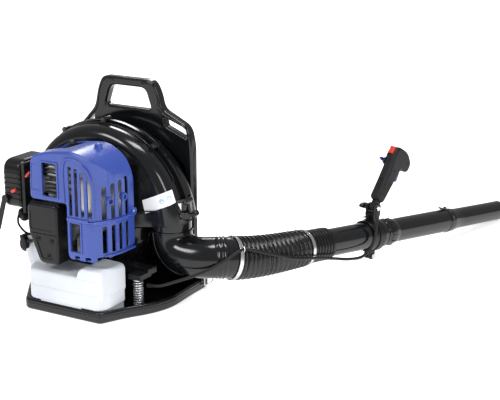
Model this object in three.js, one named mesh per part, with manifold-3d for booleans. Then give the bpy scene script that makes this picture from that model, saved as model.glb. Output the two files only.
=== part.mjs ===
// Backpack leaf blower with a 52 cc two-stroke engine.
// Millimetres. +X is the wearer's right, +Y is forward (the way the nozzle points), +Z is up.
// The origin is the middle of the base's underside. The blower stands on its base and the nozzle
// tip rests on the ground.
import * as THREE from 'three';
import { mergeVertices } from 'three/addons/utils/BufferGeometryUtils.js';
import Module from 'manifold-3d';

const wasm = await Module();
wasm.setup();

// ---------- driving dimensions ----------
const GAP = 0.3;                    // clearance between pieces that touch

const BASE_HALF_WIDTH = 187;
const BASE_REAR = -175;
const BASE_FRONT = 165;
const BASE_RIM_HEIGHT = 26;
const BASE_FLOOR = 8;
const BASE_WALL = 8;

const FRAME_BACK = 108;             // frame face towards the fan housing
const FRAME_FRONT = 132;            // frame face towards the wearer
const FRAME_HALF_WIDTH = 177;
const FRAME_TOP = 498;

const RING_X = 193;                 // hinge of each strap ring, parallel to Y
const RING_Z = 40;
const AXIS_X = -35;                 // crankshaft and fan axis, parallel to Y
const AXIS_Z = 193;

const VOLUTE_REAR = -8;
const VOLUTE_SPLIT = 50;            // plane where the two fan-housing shells meet
const VOLUTE_FRONT = 104;
const VOLUTE_WALL = 3;
const VOLUTE_ROUND = 28;            // radius of the housing's outer edges
const SPIRAL_START = -8;            // degrees: where the spiral starts, at the cutoff
const SPIRAL_SWEEP = 352;
const SPIRAL_RADIUS_MIN = 142;
const SPIRAL_RADIUS_MAX = 238;
const SPIRAL_POWER = 1.3;
const FLANGE_WIDTH = 8;

const DUCT_RADIUS = 46;
const DUCT_X = AXIS_X + SPIRAL_RADIUS_MAX - DUCT_RADIUS;
const DUCT_BOTTOM = 172;

const FAN_RADIUS = 114;
const SHAFT_RADIUS = 7;
const CRANK_Y = -61;                // middle plane of the cylinder and the connecting rod
const BORE_RADIUS = 22;             // 44 mm bore
const STROKE = 34;                  // 44 mm bore x 34 mm stroke = 51.7 cc

const HOSE_NEAR = new THREE.Vector3(293, 90, 110);   // centre of the near hose clamp
const HOSE_FAR = new THREE.Vector3(386, 264, 100);   // centre of the far hose clamp
const HOSE_NEAR_RADIUS = 48;
const HOSE_FAR_RADIUS = 40;
const BOOM_YAW = 15.5;              // degrees the tubes point outwards from straight ahead
const BOOM_LENGTH = 806;            // far clamp to nozzle tip
const SWIVEL_RADIUS = 34;
const MIDDLE_RADIUS = 30.5;
const NOZZLE_RADIUS = 27;
const TUBE_WALL = 2.5;
const BOOM_DROOP = THREE.MathUtils.radToDeg(Math.asin((HOSE_FAR.z - NOZZLE_RADIUS) / BOOM_LENGTH));

const BRACKET_AT = 252;             // distance along the boom from the far clamp
const PIVOT_HEIGHT = 70;            // handle pivot above the tube's axis
const HANDLE_LEAN = 34;             // degrees the grip leans forward of the tube's normal
const GRIP_HALF = 16;

// ---------- materials ----------
const paint = (color, roughness, metalness = 0) =>
  new THREE.MeshStandardMaterial({ color, roughness, metalness });
const LOOK = {
  gloss: paint(0x17191b, 0.28),
  matte: paint(0x1f2123, 0.55),
  blue: paint(0x4a63b8, 0.38),
  white: paint(0xf2f4f5, 0.4),
  rubber: paint(0x1a1a1a, 0.8),
  steel: paint(0xc4c7ca, 0.3, 1),
  alloy: paint(0xaeb1b4, 0.5, 1),
  red: paint(0xd23a2e, 0.4),
  navy: paint(0x26306e, 0.4),
  fabric: paint(0x18191b, 0.95),
};

// ---------- solids: joining and cutting ----------
function solid(geometry) {
  const bare = geometry.index ? geometry.toNonIndexed() : geometry.clone();
  bare.deleteAttribute('normal');
  bare.deleteAttribute('uv');
  const merged = mergeVertices(bare, 1e-3);
  return new wasm.Manifold(new wasm.Mesh({
    numProp: 3,
    vertProperties: merged.attributes.position.array,
    triVerts: new Uint32Array(merged.index.array),
  }));
}

function geometryOf(manifold) {
  const mesh = manifold.getMesh();
  const geometry = new THREE.BufferGeometry();
  geometry.setAttribute('position', new THREE.BufferAttribute(mesh.vertProperties, 3));
  geometry.setIndex(new THREE.BufferAttribute(mesh.triVerts, 1));
  return geometry;
}

const combine = (method) => (first, ...rest) => geometryOf(
  rest.reduce((whole, piece) => whole[method](solid(piece)), solid(first)));
const join = combine('add');
const cut = combine('subtract');
const keep = combine('intersect');

// ---------- solids: shapes ----------
const vec = (p) => (p.isVector3 ? p : new THREE.Vector3(...p));

function block([x0, x1], [y0, y1], [z0, z1]) {
  return new THREE.BoxGeometry(x1 - x0, y1 - y0, z1 - z0)
    .translate((x0 + x1) / 2, (y0 + y1) / 2, (z0 + z1) / 2);
}

// Turns geometry made along +Y so that it starts at `from` and points along `direction`.
function aim(geometry, from, direction) {
  const turn = new THREE.Quaternion()
    .setFromUnitVectors(new THREE.Vector3(0, 1, 0), vec(direction).clone().normalize());
  return geometry.applyQuaternion(turn).translate(...vec(from).toArray());
}

// A turned solid: profile is a list of [radius, height] that starts and ends on the axis.
function turned(profile, from, direction, sides = 14) {
  const points = profile.map(([r, h]) => new THREE.Vector2(r, h));
  return aim(new THREE.LatheGeometry(points, sides), from, direction);
}

function rod(from, to, radius, sides = 10) {
  const length = vec(to).clone().sub(vec(from)).length();
  return turned([[0, 0], [radius, 0], [radius, length], [0, length]],
    from, vec(to).clone().sub(vec(from)), sides);
}

function sleeve(from, to, outer, inner, sides = 14) {
  const length = vec(to).clone().sub(vec(from)).length();
  return turned([[inner, 0], [outer, 0], [outer, length], [inner, length], [inner, 0]],
    from, vec(to).clone().sub(vec(from)), sides);
}

// A closed outline with rounded corners: each point is [x, y, corner radius].
function outline(corners, holes = []) {
  const shape = new THREE.Shape();
  corners.forEach(([x, y, radius = 0], i) => {
    const here = new THREE.Vector2(x, y);
    const before = new THREE.Vector2(...corners.at(i - 1));
    const after = new THREE.Vector2(...corners[(i + 1) % corners.length]);
    const room = 0.48 * Math.min(before.distanceTo(here), after.distanceTo(here));
    const reach = Math.min(radius, room);
    const start = here.clone().add(before.sub(here).setLength(reach));
    const end = here.clone().add(after.sub(here).setLength(reach));
    if (i === 0) shape.moveTo(start.x, start.y);
    else shape.lineTo(start.x, start.y);
    if (radius) shape.quadraticCurveTo(x, y, end.x, end.y);
  });
  shape.closePath();
  shape.holes.push(...holes);
  return shape;
}

const mirrored = (half) => [...half, ...half.map(([x, y, r]) => [-x, y, r]).reverse()];

const BASES = {
  x: new THREE.Matrix4().makeBasis(new THREE.Vector3(0, 1, 0), new THREE.Vector3(0, 0, 1),
    new THREE.Vector3(1, 0, 0)),
  y: new THREE.Matrix4().makeBasis(new THREE.Vector3(1, 0, 0), new THREE.Vector3(0, 0, 1),
    new THREE.Vector3(0, -1, 0)),
  z: new THREE.Matrix4(),
};

// Extrudes an outline along an axis, from low to high, with edges rounded by `round`.
// The outline is drawn in (y, z) for axis x, in (x, z) for axis y and in (x, y) for axis z.
function plate(shape, axis, low, high, round = 0, curveSegments = 3) {
  const geometry = new THREE.ExtrudeGeometry(shape, {
    depth: high - low - 2 * round, curveSegments, bevelEnabled: round > 0,
    bevelThickness: round, bevelSize: round, bevelOffset: -round, bevelSegments: round > 9 ? 2 : 1,
  });
  geometry.applyMatrix4(BASES[axis]);
  const shift = axis === 'y' ? high - round : low + round;
  return geometry.translate(axis === 'x' ? shift : 0, axis === 'y' ? shift : 0, axis === 'z' ? shift : 0);
}

// A round solid swept along a curve; its radius at u (0 to 1) is radiusAt(u).
function sweep(curve, steps, sides, radiusAt) {
  const frames = curve.computeFrenetFrames(steps, false);
  const positions = [];
  const faces = [];
  for (let i = 0; i <= steps; i += 1) {
    const centre = curve.getPointAt(i / steps);
    for (let j = 0; j < sides; j += 1) {
      const angle = (2 * Math.PI * j) / sides;
      const radius = radiusAt(i / steps);
      const point = centre.clone()
        .addScaledVector(frames.normals[i], Math.cos(angle) * radius)
        .addScaledVector(frames.binormals[i], Math.sin(angle) * radius);
      positions.push(...point.toArray());
    }
  }
  const start = positions.length / 3;
  positions.push(...curve.getPointAt(0).toArray(), ...curve.getPointAt(1).toArray());
  const last = steps * sides;
  for (let j = 0; j < sides; j += 1) {
    const k = (j + 1) % sides;
    for (let i = 0; i < steps; i += 1) {
      const a = i * sides + j;
      const b = i * sides + k;
      faces.push(a, b, b + sides, a, b + sides, a + sides);
    }
    faces.push(start, k, j, start + 1, last + j, last + k);
  }
  const geometry = new THREE.BufferGeometry();
  geometry.setAttribute('position', new THREE.Float32BufferAttribute(positions, 3));
  geometry.setIndex(faces);
  return geometry;
}

const blower = new THREE.Group();
function part(name, look, geometry, parent = blower) {
  const mesh = new THREE.Mesh(geometry, LOOK[look]);
  mesh.name = name;
  parent.add(mesh);
  return mesh;
}
const sidesOf = (make) => [['left', -1], ['right', 1]].forEach(([word, side]) => make(word, side));

// ---------- base and back frame ----------
// Half the base's outline; the left front corner is cut back by `trim`.
const baseHalf = (inset, trim) => [
  [112 - trim - inset * 0.6, BASE_REAR + inset, 12], [142 - inset, -112 + inset * 0.4, 20],
  [176 - inset, -62 + inset * 0.3, 40], [BASE_HALF_WIDTH + 7 - inset, -6, 50],
  [BASE_HALF_WIDTH - inset, 108, 60], [BASE_HALF_WIDTH - inset, BASE_FRONT - inset, 30]];
const baseOutline = (inset) => outline([...baseHalf(inset, 0),
  ...baseHalf(inset, 14).reverse().map(([x, y, radius]) => [-x, y, radius])]);

function baseTray() {
  const whole = plate(baseOutline(0), 'z', 0, BASE_RIM_HEIGHT, 4);
  const hollow = plate(baseOutline(BASE_WALL), 'z', BASE_FLOOR, BASE_RIM_HEIGHT + 5);
  const seats = [-1, 1].map((side) => rod([side * 135, -58, BASE_FLOOR - 1], [side * 135, -58, 15], 15));
  const lugs = [-1, 1].map((side) => block([side * 168 - 19, side * 168 + 19],
    [FRAME_FRONT + GAP, 158], [4, 58]));
  const knuckles = [-1, 1].map((side) =>
    block([side * RING_X - 7, side * RING_X + 5].map((x) => (side < 0 ? x + 2 : x)), [144, 156], [34, 46]));
  const pinHoles = [-1, 1].map((side) => rod([side * RING_X, 140, RING_Z],
    [side * RING_X, 160, RING_Z], 2.8));
  return cut(join(cut(whole, hollow), ...seats, ...lugs, ...knuckles), ...pinHoles);
}
part('base_tray', 'gloss', baseTray());

function backFrame() {
  const foot = [[168, BASE_FLOOR + GAP, 0], [168, 32, 0], [FRAME_HALF_WIDTH, 40, 6]];
  const right = [...foot, [FRAME_HALF_WIDTH, 356, 18], [167, 398, 18], [95, 433, 14], [86, 470, 20],
    [70, FRAME_TOP, 24]];
  const left = [...foot, [FRAME_HALF_WIDTH, 318, 18], [156, 358, 18], [97, 421, 14], [86, 470, 20],
    [72, FRAME_TOP, 22]].reverse().map(([x, z, radius]) => [-x, z, radius]);
  const grasp = outline(mirrored([[66, 428, 10], [49, 478, 16]]));
  const slots = [[[104, 394, 4], [100, 414, 4], [158, 393, 5], [163, 370, 4]],
    [[-101, 384, 4], [-99, 404, 4], [-146, 354, 5], [-142, 340, 4]]].map((corners) => outline(corners));
  const whole = plate(outline([...right, ...left]), 'y', FRAME_BACK, FRAME_FRONT, 4);
  const openings = [grasp, ...slots].map((hole) => plate(hole, 'y', FRAME_BACK - 5, FRAME_FRONT + 5));
  const pocket = plate(outline(mirrored([[160, 60, 12], [160, 306, 20], [70, 374, 20]])),
    'y', FRAME_BACK - 5, FRAME_FRONT - 6);
  return cut(whole, pocket, ...openings);
}
part('back_frame', 'gloss', backFrame());

// ---------- fan housing ----------
function spiral(offset) {
  const points = [];
  const steps = 22;
  for (let i = 0; i <= steps; i += 1) {
    const share = i / steps;
    const radius = SPIRAL_RADIUS_MIN + offset
      + (SPIRAL_RADIUS_MAX - SPIRAL_RADIUS_MIN) * share ** SPIRAL_POWER;
    const angle = THREE.MathUtils.degToRad(SPIRAL_START - SPIRAL_SWEEP * share);
    points.push(new THREE.Vector2(AXIS_X + radius * Math.cos(angle), AXIS_Z + radius * Math.sin(angle)));
  }
  return new THREE.Shape(points);
}

function volute(wall) {
  const body = plate(spiral(-wall), 'y', VOLUTE_REAR + wall, VOLUTE_FRONT - wall, VOLUTE_ROUND - wall);
  const duct = rod([DUCT_X, VOLUTE_SPLIT, AXIS_Z + 40], [DUCT_X, VOLUTE_SPLIT, DUCT_BOTTOM - wall],
    DUCT_RADIUS - wall, 20);
  return join(body, duct);
}

const RIM_BOLTS = [148, 119, 86, 48, 12, -62, -105, -150];
function rimPoint(degrees, offset) {
  const share = (((SPIRAL_START - degrees) % 360) + 360) % 360 / SPIRAL_SWEEP;
  const radius = SPIRAL_RADIUS_MIN + offset + (SPIRAL_RADIUS_MAX - SPIRAL_RADIUS_MIN) * share ** SPIRAL_POWER;
  const angle = THREE.MathUtils.degToRad(degrees);
  return [AXIS_X + radius * Math.cos(angle), AXIS_Z + radius * Math.sin(angle)];
}

function voluteShell(low, high, flangeLow, flangeHigh) {
  const flange = plate(spiral(FLANGE_WIDTH), 'y', flangeLow, flangeHigh);
  const ears = RIM_BOLTS.map((degrees) => {
    const [x, z] = rimPoint(degrees, FLANGE_WIDTH - 2);
    return rod([x, flangeLow - (low < 0 ? 8 : 0), z], [x, flangeHigh + (low < 0 ? 0 : 8), z], 8, 8);
  });
  const half = keep(volute(0), block([-400, 400], [low, high], [0, 500]));
  const elbowRoom = block([DUCT_X - DUCT_RADIUS - 5, 260], [-20, 120], [60, DUCT_BOTTOM]);
  return cut(join(half, flange, ...ears), volute(VOLUTE_WALL), elbowRoom);
}

part('volute_rear_shell', 'gloss', cut(
  voluteShell(VOLUTE_REAR - 1, VOLUTE_SPLIT - GAP / 2, VOLUTE_SPLIT - 4, VOLUTE_SPLIT - GAP / 2),
  rod([AXIS_X, -20, AXIS_Z], [AXIS_X, 0, AXIS_Z], 14)));
const INLET_RADIUS = 78;

// The air inlet: rings and spokes moulded into the front shell.
function inletOpenings() {
  const through = (outer, inner) => sleeve([AXIS_X, 90, AXIS_Z], [AXIS_X, 120, AXIS_Z], outer, inner, 14);
  const spokes = [0, 60, 120].map((degrees) => block([-90, 90], [80, 130], [-2, 2])
    .applyMatrix4(new THREE.Matrix4().makeRotationY(THREE.MathUtils.degToRad(degrees)))
    .translate(AXIS_X, 0, AXIS_Z));
  return [through(INLET_RADIUS, 57), through(53, 32)].map((gap) => cut(gap, ...spokes));
}
part('volute_front_shell', 'gloss', cut(
  voluteShell(VOLUTE_SPLIT + GAP / 2, VOLUTE_FRONT + 1, VOLUTE_SPLIT + GAP / 2, VOLUTE_SPLIT + 4),
  ...inletOpenings()));

function impeller() {
  const disc = turned([[0, 0], [FAN_RADIUS, 0], [FAN_RADIUS, 3], [22, 5], [18, 34], [0, 34]],
    [AXIS_X, 1, AXIS_Z], [0, 1, 0], 24);
  const blades = Array.from({ length: 12 }, (_, i) => block([48, FAN_RADIUS - 1], [3, 46], [-1.5, 1.5])
    .applyMatrix4(new THREE.Matrix4().makeRotationY(-0.5).setPosition(6, 0, -26))
    .applyMatrix4(new THREE.Matrix4().makeRotationY((i * Math.PI) / 6))
    .translate(AXIS_X, 0, AXIS_Z));
  return cut(join(disc, ...blades),
    rod([AXIS_X, 0, AXIS_Z], [AXIS_X, 30, AXIS_Z], SHAFT_RADIUS + GAP, 12));
}
part('fan_impeller', 'alloy', impeller());

// ---------- engine ----------
const onAxis = (y) => [AXIS_X, y, AXIS_Z];

function crankcase() {
  const drum = rod(onAxis(-88), onAxis(-34), 42, 18);
  const deck = block([AXIS_X - 36, AXIS_X + 36], [-96, -28], [AXIS_Z + 10, 238]);
  const nose = rod(onAxis(-36), onAxis(VOLUTE_REAR - GAP), 26, 14);
  const flange = rod(onAxis(-18), onAxis(VOLUTE_REAR - GAP), 48, 14);
  const feet = [-1, 1].map((side) =>
    block([AXIS_X + side * 26 - 8, AXIS_X + side * 26 + 8], [-80, -40], [122, 170]));
  return cut(join(drum, deck, nose, flange, ...feet),
    rod(onAxis(-78), onAxis(-44), 32, 18), rod(onAxis(-100), onAxis(0), 16, 14),
    rod([AXIS_X, CRANK_Y, AXIS_Z], [AXIS_X, CRANK_Y, 250], BORE_RADIUS + 1, 14));
}
part('crankcase', 'alloy', crankcase());
part('main_bearing_rear', 'steel', sleeve(onAxis(-87), onAxis(-79), 15.4, SHAFT_RADIUS + 0.5, 14));
part('main_bearing_front', 'steel', sleeve(onAxis(-43), onAxis(-35), 15.4, SHAFT_RADIUS + 0.5, 14));

part('crank_half_rear', 'steel', join(rod(onAxis(-77), onAxis(-68), 28, 20),
  rod(onAxis(-121), onAxis(-72), SHAFT_RADIUS, 12)));
part('crank_half_front', 'steel', join(rod(onAxis(-54), onAxis(-45), 28, 20),
  rod(onAxis(-50), onAxis(29), SHAFT_RADIUS, 12)));

const PIN_Z = AXIS_Z - STROKE / 2;  // crank pin, with the piston at the bottom of its stroke
const WRIST_Z = PIN_Z + 66;
part('connecting_rod', 'steel', join(
  rod([AXIS_X, CRANK_Y - 5, PIN_Z], [AXIS_X, CRANK_Y + 5, PIN_Z], 12, 14),
  rod([AXIS_X, CRANK_Y - 6, PIN_Z], [AXIS_X, CRANK_Y + 6, PIN_Z], 6, 10),
  rod([AXIS_X, CRANK_Y - 5, WRIST_Z], [AXIS_X, CRANK_Y + 5, WRIST_Z], 8, 12),
  block([AXIS_X - 4, AXIS_X + 4], [CRANK_Y - 4, CRANK_Y + 4], [PIN_Z + 4, WRIST_Z - 4])));
part('piston', 'alloy', cut(
  rod([AXIS_X, CRANK_Y, WRIST_Z - 18], [AXIS_X, CRANK_Y, WRIST_Z + 18], BORE_RADIUS - 1, 14),
  rod([AXIS_X, CRANK_Y, WRIST_Z - 20], [AXIS_X, CRANK_Y, WRIST_Z + 12], BORE_RADIUS - 4, 12)));

const HEAD_TOP = 346;
function cylinder() {
  const barrel = rod([AXIS_X, CRANK_Y, 238 + GAP], [AXIS_X, CRANK_Y, HEAD_TOP], 31, 14);
  const foot = block([AXIS_X - 36, AXIS_X + 36], [-96, -28], [238 + GAP, 244]);
  const fins = Array.from({ length: 6 }, (_, i) =>
    block([AXIS_X - 42, AXIS_X + 42], [CRANK_Y - 40, CRANK_Y + 38], [254 + i * 16, 257 + i * 16]));
  const intake = block([AXIS_X - 52, AXIS_X], [CRANK_Y - 20, CRANK_Y + 20], [258, 284]);
  const exhaust = block([AXIS_X, AXIS_X + 50], [CRANK_Y - 22, CRANK_Y + 22], [264, 288]);
  return cut(join(barrel, foot, ...fins, intake, exhaust),
    rod([AXIS_X, CRANK_Y, 230], [AXIS_X, CRANK_Y, 308], BORE_RADIUS, 16),
    rod([AXIS_X, CRANK_Y, 300], [AXIS_X, CRANK_Y, HEAD_TOP + 5], 7 + GAP, 12),
    rod([AXIS_X - 60, CRANK_Y, 271], [AXIS_X, CRANK_Y, 271], 9, 12),
    rod([AXIS_X, CRANK_Y, 276], [AXIS_X + 60, CRANK_Y, 276], 9, 12));
}
part('cylinder', 'alloy', cylinder());
part('spark_plug', 'steel', turned([[0, 0], [7, 0], [7, 32], [11, 32], [11, 38], [5, 38], [5, 50], [0, 50]],
  [AXIS_X, CRANK_Y, HEAD_TOP - 31], [0, 0, 1], 12));
part('spark_plug_cap', 'rubber', cut(
  turned([[0, 0], [9, 0], [9, 18], [5, 23], [0, 23]], [AXIS_X, CRANK_Y, HEAD_TOP + 9], [0, 0, 1], 12),
  rod([AXIS_X, CRANK_Y, HEAD_TOP + 5], [AXIS_X, CRANK_Y, HEAD_TOP + 21], 5 + GAP, 12)));

const MUFFLER_X = AXIS_X + 50 + GAP;
part('muffler', 'steel', join(
  plate(outline([[-142, 196, 14], [-142, 322, 14], [-44, 322, 14], [-44, 196, 14]]), 'x', 28, 88, 5),
  block([MUFFLER_X, 32], [CRANK_Y - 22, CRANK_Y + 22], [264, 288]),
  rod([70, -120, 180], [70, -120, 204], 9, 12)));
part('flywheel', 'alloy', cut(join(rod(onAxis(-116), onAxis(-102), 46, 20), rod(onAxis(-118),
  onAxis(-98), 16, 12),
  ...Array.from({ length: 6 }, (_, i) => block([22, 44], [-119, -114], [-1.5, 1.5])
    .applyMatrix4(new THREE.Matrix4().makeRotationY((i * Math.PI) / 3)).translate(AXIS_X, 0, AXIS_Z))),
  rod(onAxis(-120), onAxis(-90), SHAFT_RADIUS + GAP, 12)));
part('ignition_coil', 'matte', join(block([-96, -83], [-114, -102], [176, 210]), block([-116, -94],
  [-118, -98], [178, 208])));

// ---------- carburettor and air filter ----------
const CARB_X = AXIS_X - 52 - GAP;
part('carburettor', 'alloy', cut(join(
  block([CARB_X - 20, CARB_X], [CRANK_Y - 20, CRANK_Y + 20], [252, 290]),
  rod([CARB_X - 10, CRANK_Y, 289], [CARB_X - 10, CRANK_Y, 300], 10, 14),
  rod([CARB_X - 10, CRANK_Y, 240], [CARB_X - 10, CRANK_Y, 254], 10, 14)),
  rod([CARB_X - 60, CRANK_Y, 271], [CARB_X + 5, CRANK_Y, 271], 9, 12)));
const BULB_AT = [-140, -116, 203];
part('primer_bulb', 'rubber', turned([[0, -2], [13, -2], [13, 2], [10, 8], [5, 12], [0, 13]],
  BULB_AT, [0, -1, 0], 14));
const FILTER_X = CARB_X - 20 - GAP;
part('air_filter_plate', 'matte', cut(join(
  block([FILTER_X - 8, FILTER_X], [-146, -40], [218, 334]),
  rod([-142, -92, 206], [-142, -92, 222], 16, 14),
  sleeve([-140, -118, 203], [-140, -104, 203], 16, 13.8, 14),
  block([-154, FILTER_X], [-108, -78], [216, 223])),
  rod([FILTER_X - 20, CRANK_Y, 271], [FILTER_X + 5, CRANK_Y, 271], 9, 12)));
part('air_filter_element', 'fabric', cut(
  block([FILTER_X - 34, FILTER_X - 8 - GAP], [-130, -56], [240, 322]),
  block([FILTER_X - 28, FILTER_X], [-120, -66], [250, 312])));
function filterCover() {
  const shape = (inset) => outline([[-150 + inset, 226 + inset, 20], [-150 + inset, 338 - inset, 30],
    [-36 - inset, 338 - inset, 24], [-36 - inset, 226 + inset, 20]]);
  const whole = plate(shape(0), 'x', FILTER_X - 62, FILTER_X - 8 - GAP, 10);
  const inside = plate(shape(3), 'x', FILTER_X - 59, FILTER_X + 20, 8);
  const ribs = Array.from({ length: 5 }, (_, i) =>
    block([FILTER_X - 65, FILTER_X - 60], [-136 + i * 20, -130 + i * 20], [240, 320]));
  return cut(join(whole, ...ribs), inside);
}
part('air_filter_cover', 'matte', filterCover());
part('choke_lever', 'matte', join(
  rod([-158, -152, 248], [-158, -159, 248], 9, 12),
  plate(outline([[-163, 254, 3], [-153, 254, 3], [-180, 170, 4], [-192, 172, 4]]), 'y', -158, -154)));

// ---------- engine cover ----------
const COVER_REAR = -165;
const COVER_FRONT = -42;
function engineCover() {
  const shape = (inset) => outline([
    [-80 + inset, 262, 16], [-74 + inset, 362 - inset, 20], [-20, 376 - inset, 20], [50, 384 - inset, 24],
    [98 - inset, 360 - inset, 26], [120 - inset, 318, 30], [120 - inset, 154 + inset, 14],
    [104 - inset, 136 + inset, 16], [22 + inset, 136 + inset, 16], [22 + inset, 262, 6]]);
  const plan = (inset, front) => outline([[-80 + inset, front, 0], [-80 + inset, COVER_REAR + inset, 10],
    [84 - inset, COVER_REAR + inset, 16], [112 - inset, -124, 30], [120 - inset, -70, 30],
    [120 - inset, front, 0]]);
  const whole = keep(plate(shape(0), 'y', COVER_REAR, COVER_FRONT, 5),
    plate(plan(0, COVER_FRONT), 'z', 120, 400));
  const inside = keep(plate(shape(3), 'y', COVER_REAR + 5, COVER_FRONT + 40),
    plate(plan(3.5, COVER_FRONT + 40), 'z', 110, 410));
  const rearSlots = [350, 346, 338, 324].map((top, i) =>
    block([31 + i * 16, 40 + i * 16], [COVER_REAR - 5, COVER_REAR + 20], [238, top]));
  const lowWindow = block([32, 60], [COVER_REAR - 5, COVER_REAR + 20], [156, 222]);
  const finWindow = block([-40, 0], [COVER_REAR - 5, COVER_REAR + 20], [274, 350]);
  const sideSlots = [-140, -119, -98, -77].flatMap((y, i) =>
    [block([88, 130], [y, y + 11], [154, 216]), block([88, 130], [y, y + 11], [230, 306 + i * 4])]);
  const top = plate(outline([[-66, -120, 10], [0, -128, 14], [6, -52, 14], [-66, -52, 10]]), 'z', 345, 400);
  const open = block([-74, 8], [COVER_REAR + 12, COVER_FRONT + 10], [240, 270]);
  const intakeSide = block([-100, -60], [-150, COVER_FRONT + 10], [240, 344]);
  const underside = block([28, 108], [COVER_REAR + 14, COVER_FRONT + 10], [120, 145]);
  const bosses = [[56, -84, 380, 0, 0, 1], [117, -52, 234, 1, 0, 0]].map(([x, y, z, ...d]) =>
    turned([[0, -6], [9, -6], [8, 10], [0, 10]], [x, y, z], d, 14));
  return join(cut(whole, inside, ...rearSlots, lowWindow, finWindow, ...sideSlots, top, open, intakeSide,
    underside), ...bosses);
}
part('engine_cover', 'blue', engineCover());

// ---------- recoil starter ----------
// The rope leaves the bottom of the reel and is pulled to the left and slightly down.
const PULL_TILT = -0.242;
const ROPE_DROP = -23.5;            // rope below the reel's axis
const pullFrame = new THREE.Matrix4().makeRotationY(PULL_TILT).setPosition(AXIS_X, -144, AXIS_Z);
function starterCover() {
  const shape = (inset) => outline([[-56 + inset * 0.3, 116 + inset, 10], [-2 - inset, 116 + inset, 14],
    [-2 - inset, 254 - inset, 12], [-86 + inset, 254 - inset, 14], [-86 + inset, 186, 12]]);
  const whole = plate(shape(0), 'y', -168, -121, 5);
  const inside = plate(shape(3), 'y', -164, -100);
  const post = rod(onAxis(-166), onAxis(-122), 5, 12);
  const mouth = rod([-60, 0, ROPE_DROP], [-30, 0, ROPE_DROP], 4.5, 10).applyMatrix4(pullFrame);
  return cut(join(cut(whole, inside), post), mouth);
}
part('starter_cover', 'matte', starterCover());
part('starter_reel', 'white', cut(join(rod(onAxis(-152), onAxis(-149), 28, 16), rod(onAxis(-150),
  onAxis(-138), 20, 16),
  rod(onAxis(-139), onAxis(-136), 28, 16), rod(onAxis(-137), onAxis(-124), 12, 12)),
  rod(onAxis(-160), onAxis(-120), 5 + GAP, 12)));
part('starter_rope', 'fabric', sleeve(onAxis(-149 + GAP), onAxis(-139 - GAP), 26, 21, 16));
part('starter_grip', 'matte', join(
  rod([-86, 0, ROPE_DROP], [-56, 0, ROPE_DROP], 4.5, 10),
  plate(outline([[-98, ROPE_DROP - 18, 5], [-85, ROPE_DROP - 18, 4], [-80, ROPE_DROP, 3],
    [-85, ROPE_DROP + 18, 4],
    [-98, ROPE_DROP + 18, 5]]), 'y', -8, 8, 3)).applyMatrix4(pullFrame));

// ---------- fuel tank ----------
const FILLER_Y = -108;
const FILLER_Z = 134;
function fuelTank() {
  const upper = plate(outline([[104, -172, 14], [118, -150, 16], [118, -78, 16], [-106, -78, 16],
    [-106, -140, 18], [-84, -172, 14]]), 'z', BASE_RIM_HEIGHT + 1, 98, 5);
  const lower = plate(outline([[92, -164, 14], [112, -140, 16], [112, -78, 10], [-98, -78, 10],
    [-98, -132, 16], [-76, -164, 14]]), 'z', BASE_FLOOR + GAP, 60);
  const shoulder = plate(outline([[30, 50, 12], [52, 120, 14], [118, 118, 16], [118, 50, 14]]), 'y',
    -171, -78, 3);
  const tower = plate(outline([[-98, 36, 10], [-130, 118, 20], [-130, 158, 14], [-102, 158, 14],
    [-66, 96, 14], [-66, 40, 12]]),
    'y', -130, -86, 3);
  const neck = rod([-126, FILLER_Y, FILLER_Z], [-139, FILLER_Y, FILLER_Z], 17, 16);
  const mouth = rod([-115, FILLER_Y, FILLER_Z], [-150, FILLER_Y, FILLER_Z], 14, 16);
  const inside = [block([-90, 100], [-156, -84], [13, 92]), block([-98, 113], [-148, -84], [34, 90]),
    block([62, 111], [-162, -86], [80, 111]), block([-108, -90], [-124, -92], [80, 118]),
    block([-124, -104], [-124, -92], [112, 150])];
  return cut(join(upper, lower, shoulder, tower, neck), join(...inside), mouth);
}
part('fuel_tank', 'white', fuelTank());
part('fuel_cap', 'matte', cut(
  turned([[0, 0], [22, 0], [22, 14], [19, 17], [0, 17]], [-131, FILLER_Y, FILLER_Z], [-1, 0, 0], 16),
  rod([-120, FILLER_Y, FILLER_Z], [-141, FILLER_Y, FILLER_Z], 17 + GAP, 16)));

// ---------- engine bracket, springs and rubber mounts ----------
const SPRING_X = 135;
const SPRING_Y = -58;
const SPRING_BOTTOM = 15 + GAP;
const SPRING_TOP = 78;
class Helix extends THREE.Curve {
  constructor(x, turns) { super(); this.x = x; this.turns = turns; }

  getPoint(u) {
    const angle = 2 * Math.PI * this.turns * u;
    return new THREE.Vector3(this.x + 10.5 * Math.cos(angle), SPRING_Y + 10.5 * Math.sin(angle),
      SPRING_BOTTOM + 1.6 + (SPRING_TOP - SPRING_BOTTOM - 3.2) * u);
  }
}
part('engine_bracket', 'matte', join(
  block([-152, 152], [-42, VOLUTE_REAR - GAP], [82, 96]),
  block([-90, 30], [-42, VOLUTE_REAR - GAP], [90, 121]),
  ...[-1, 1].map((side) => block([side * SPRING_X - 17, side * SPRING_X + 17], [-74, -30],
    [SPRING_TOP + GAP, 90])),
  ...[-1, 1].map((side) => rod([side * SPRING_X, SPRING_Y, 62], [side * SPRING_X, SPRING_Y, 82], 7, 12))));
sidesOf((word, side) => {
  part(`spring_${word}`, 'steel', sweep(new Helix(side * SPRING_X, 6), 42, 4, () => 1.7));
});
[['left', -95], ['right', 30]].forEach(([word, x]) => {
  part(`rubber_mount_${word}`, 'rubber', turned([[0, 0], [14, 0], [14, 3], [11, 10], [14, 18],
    [14, 21.4], [0, 21.4]],
    [x, VOLUTE_FRONT + GAP, 104], [0, 1, 0], 14));
});

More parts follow.
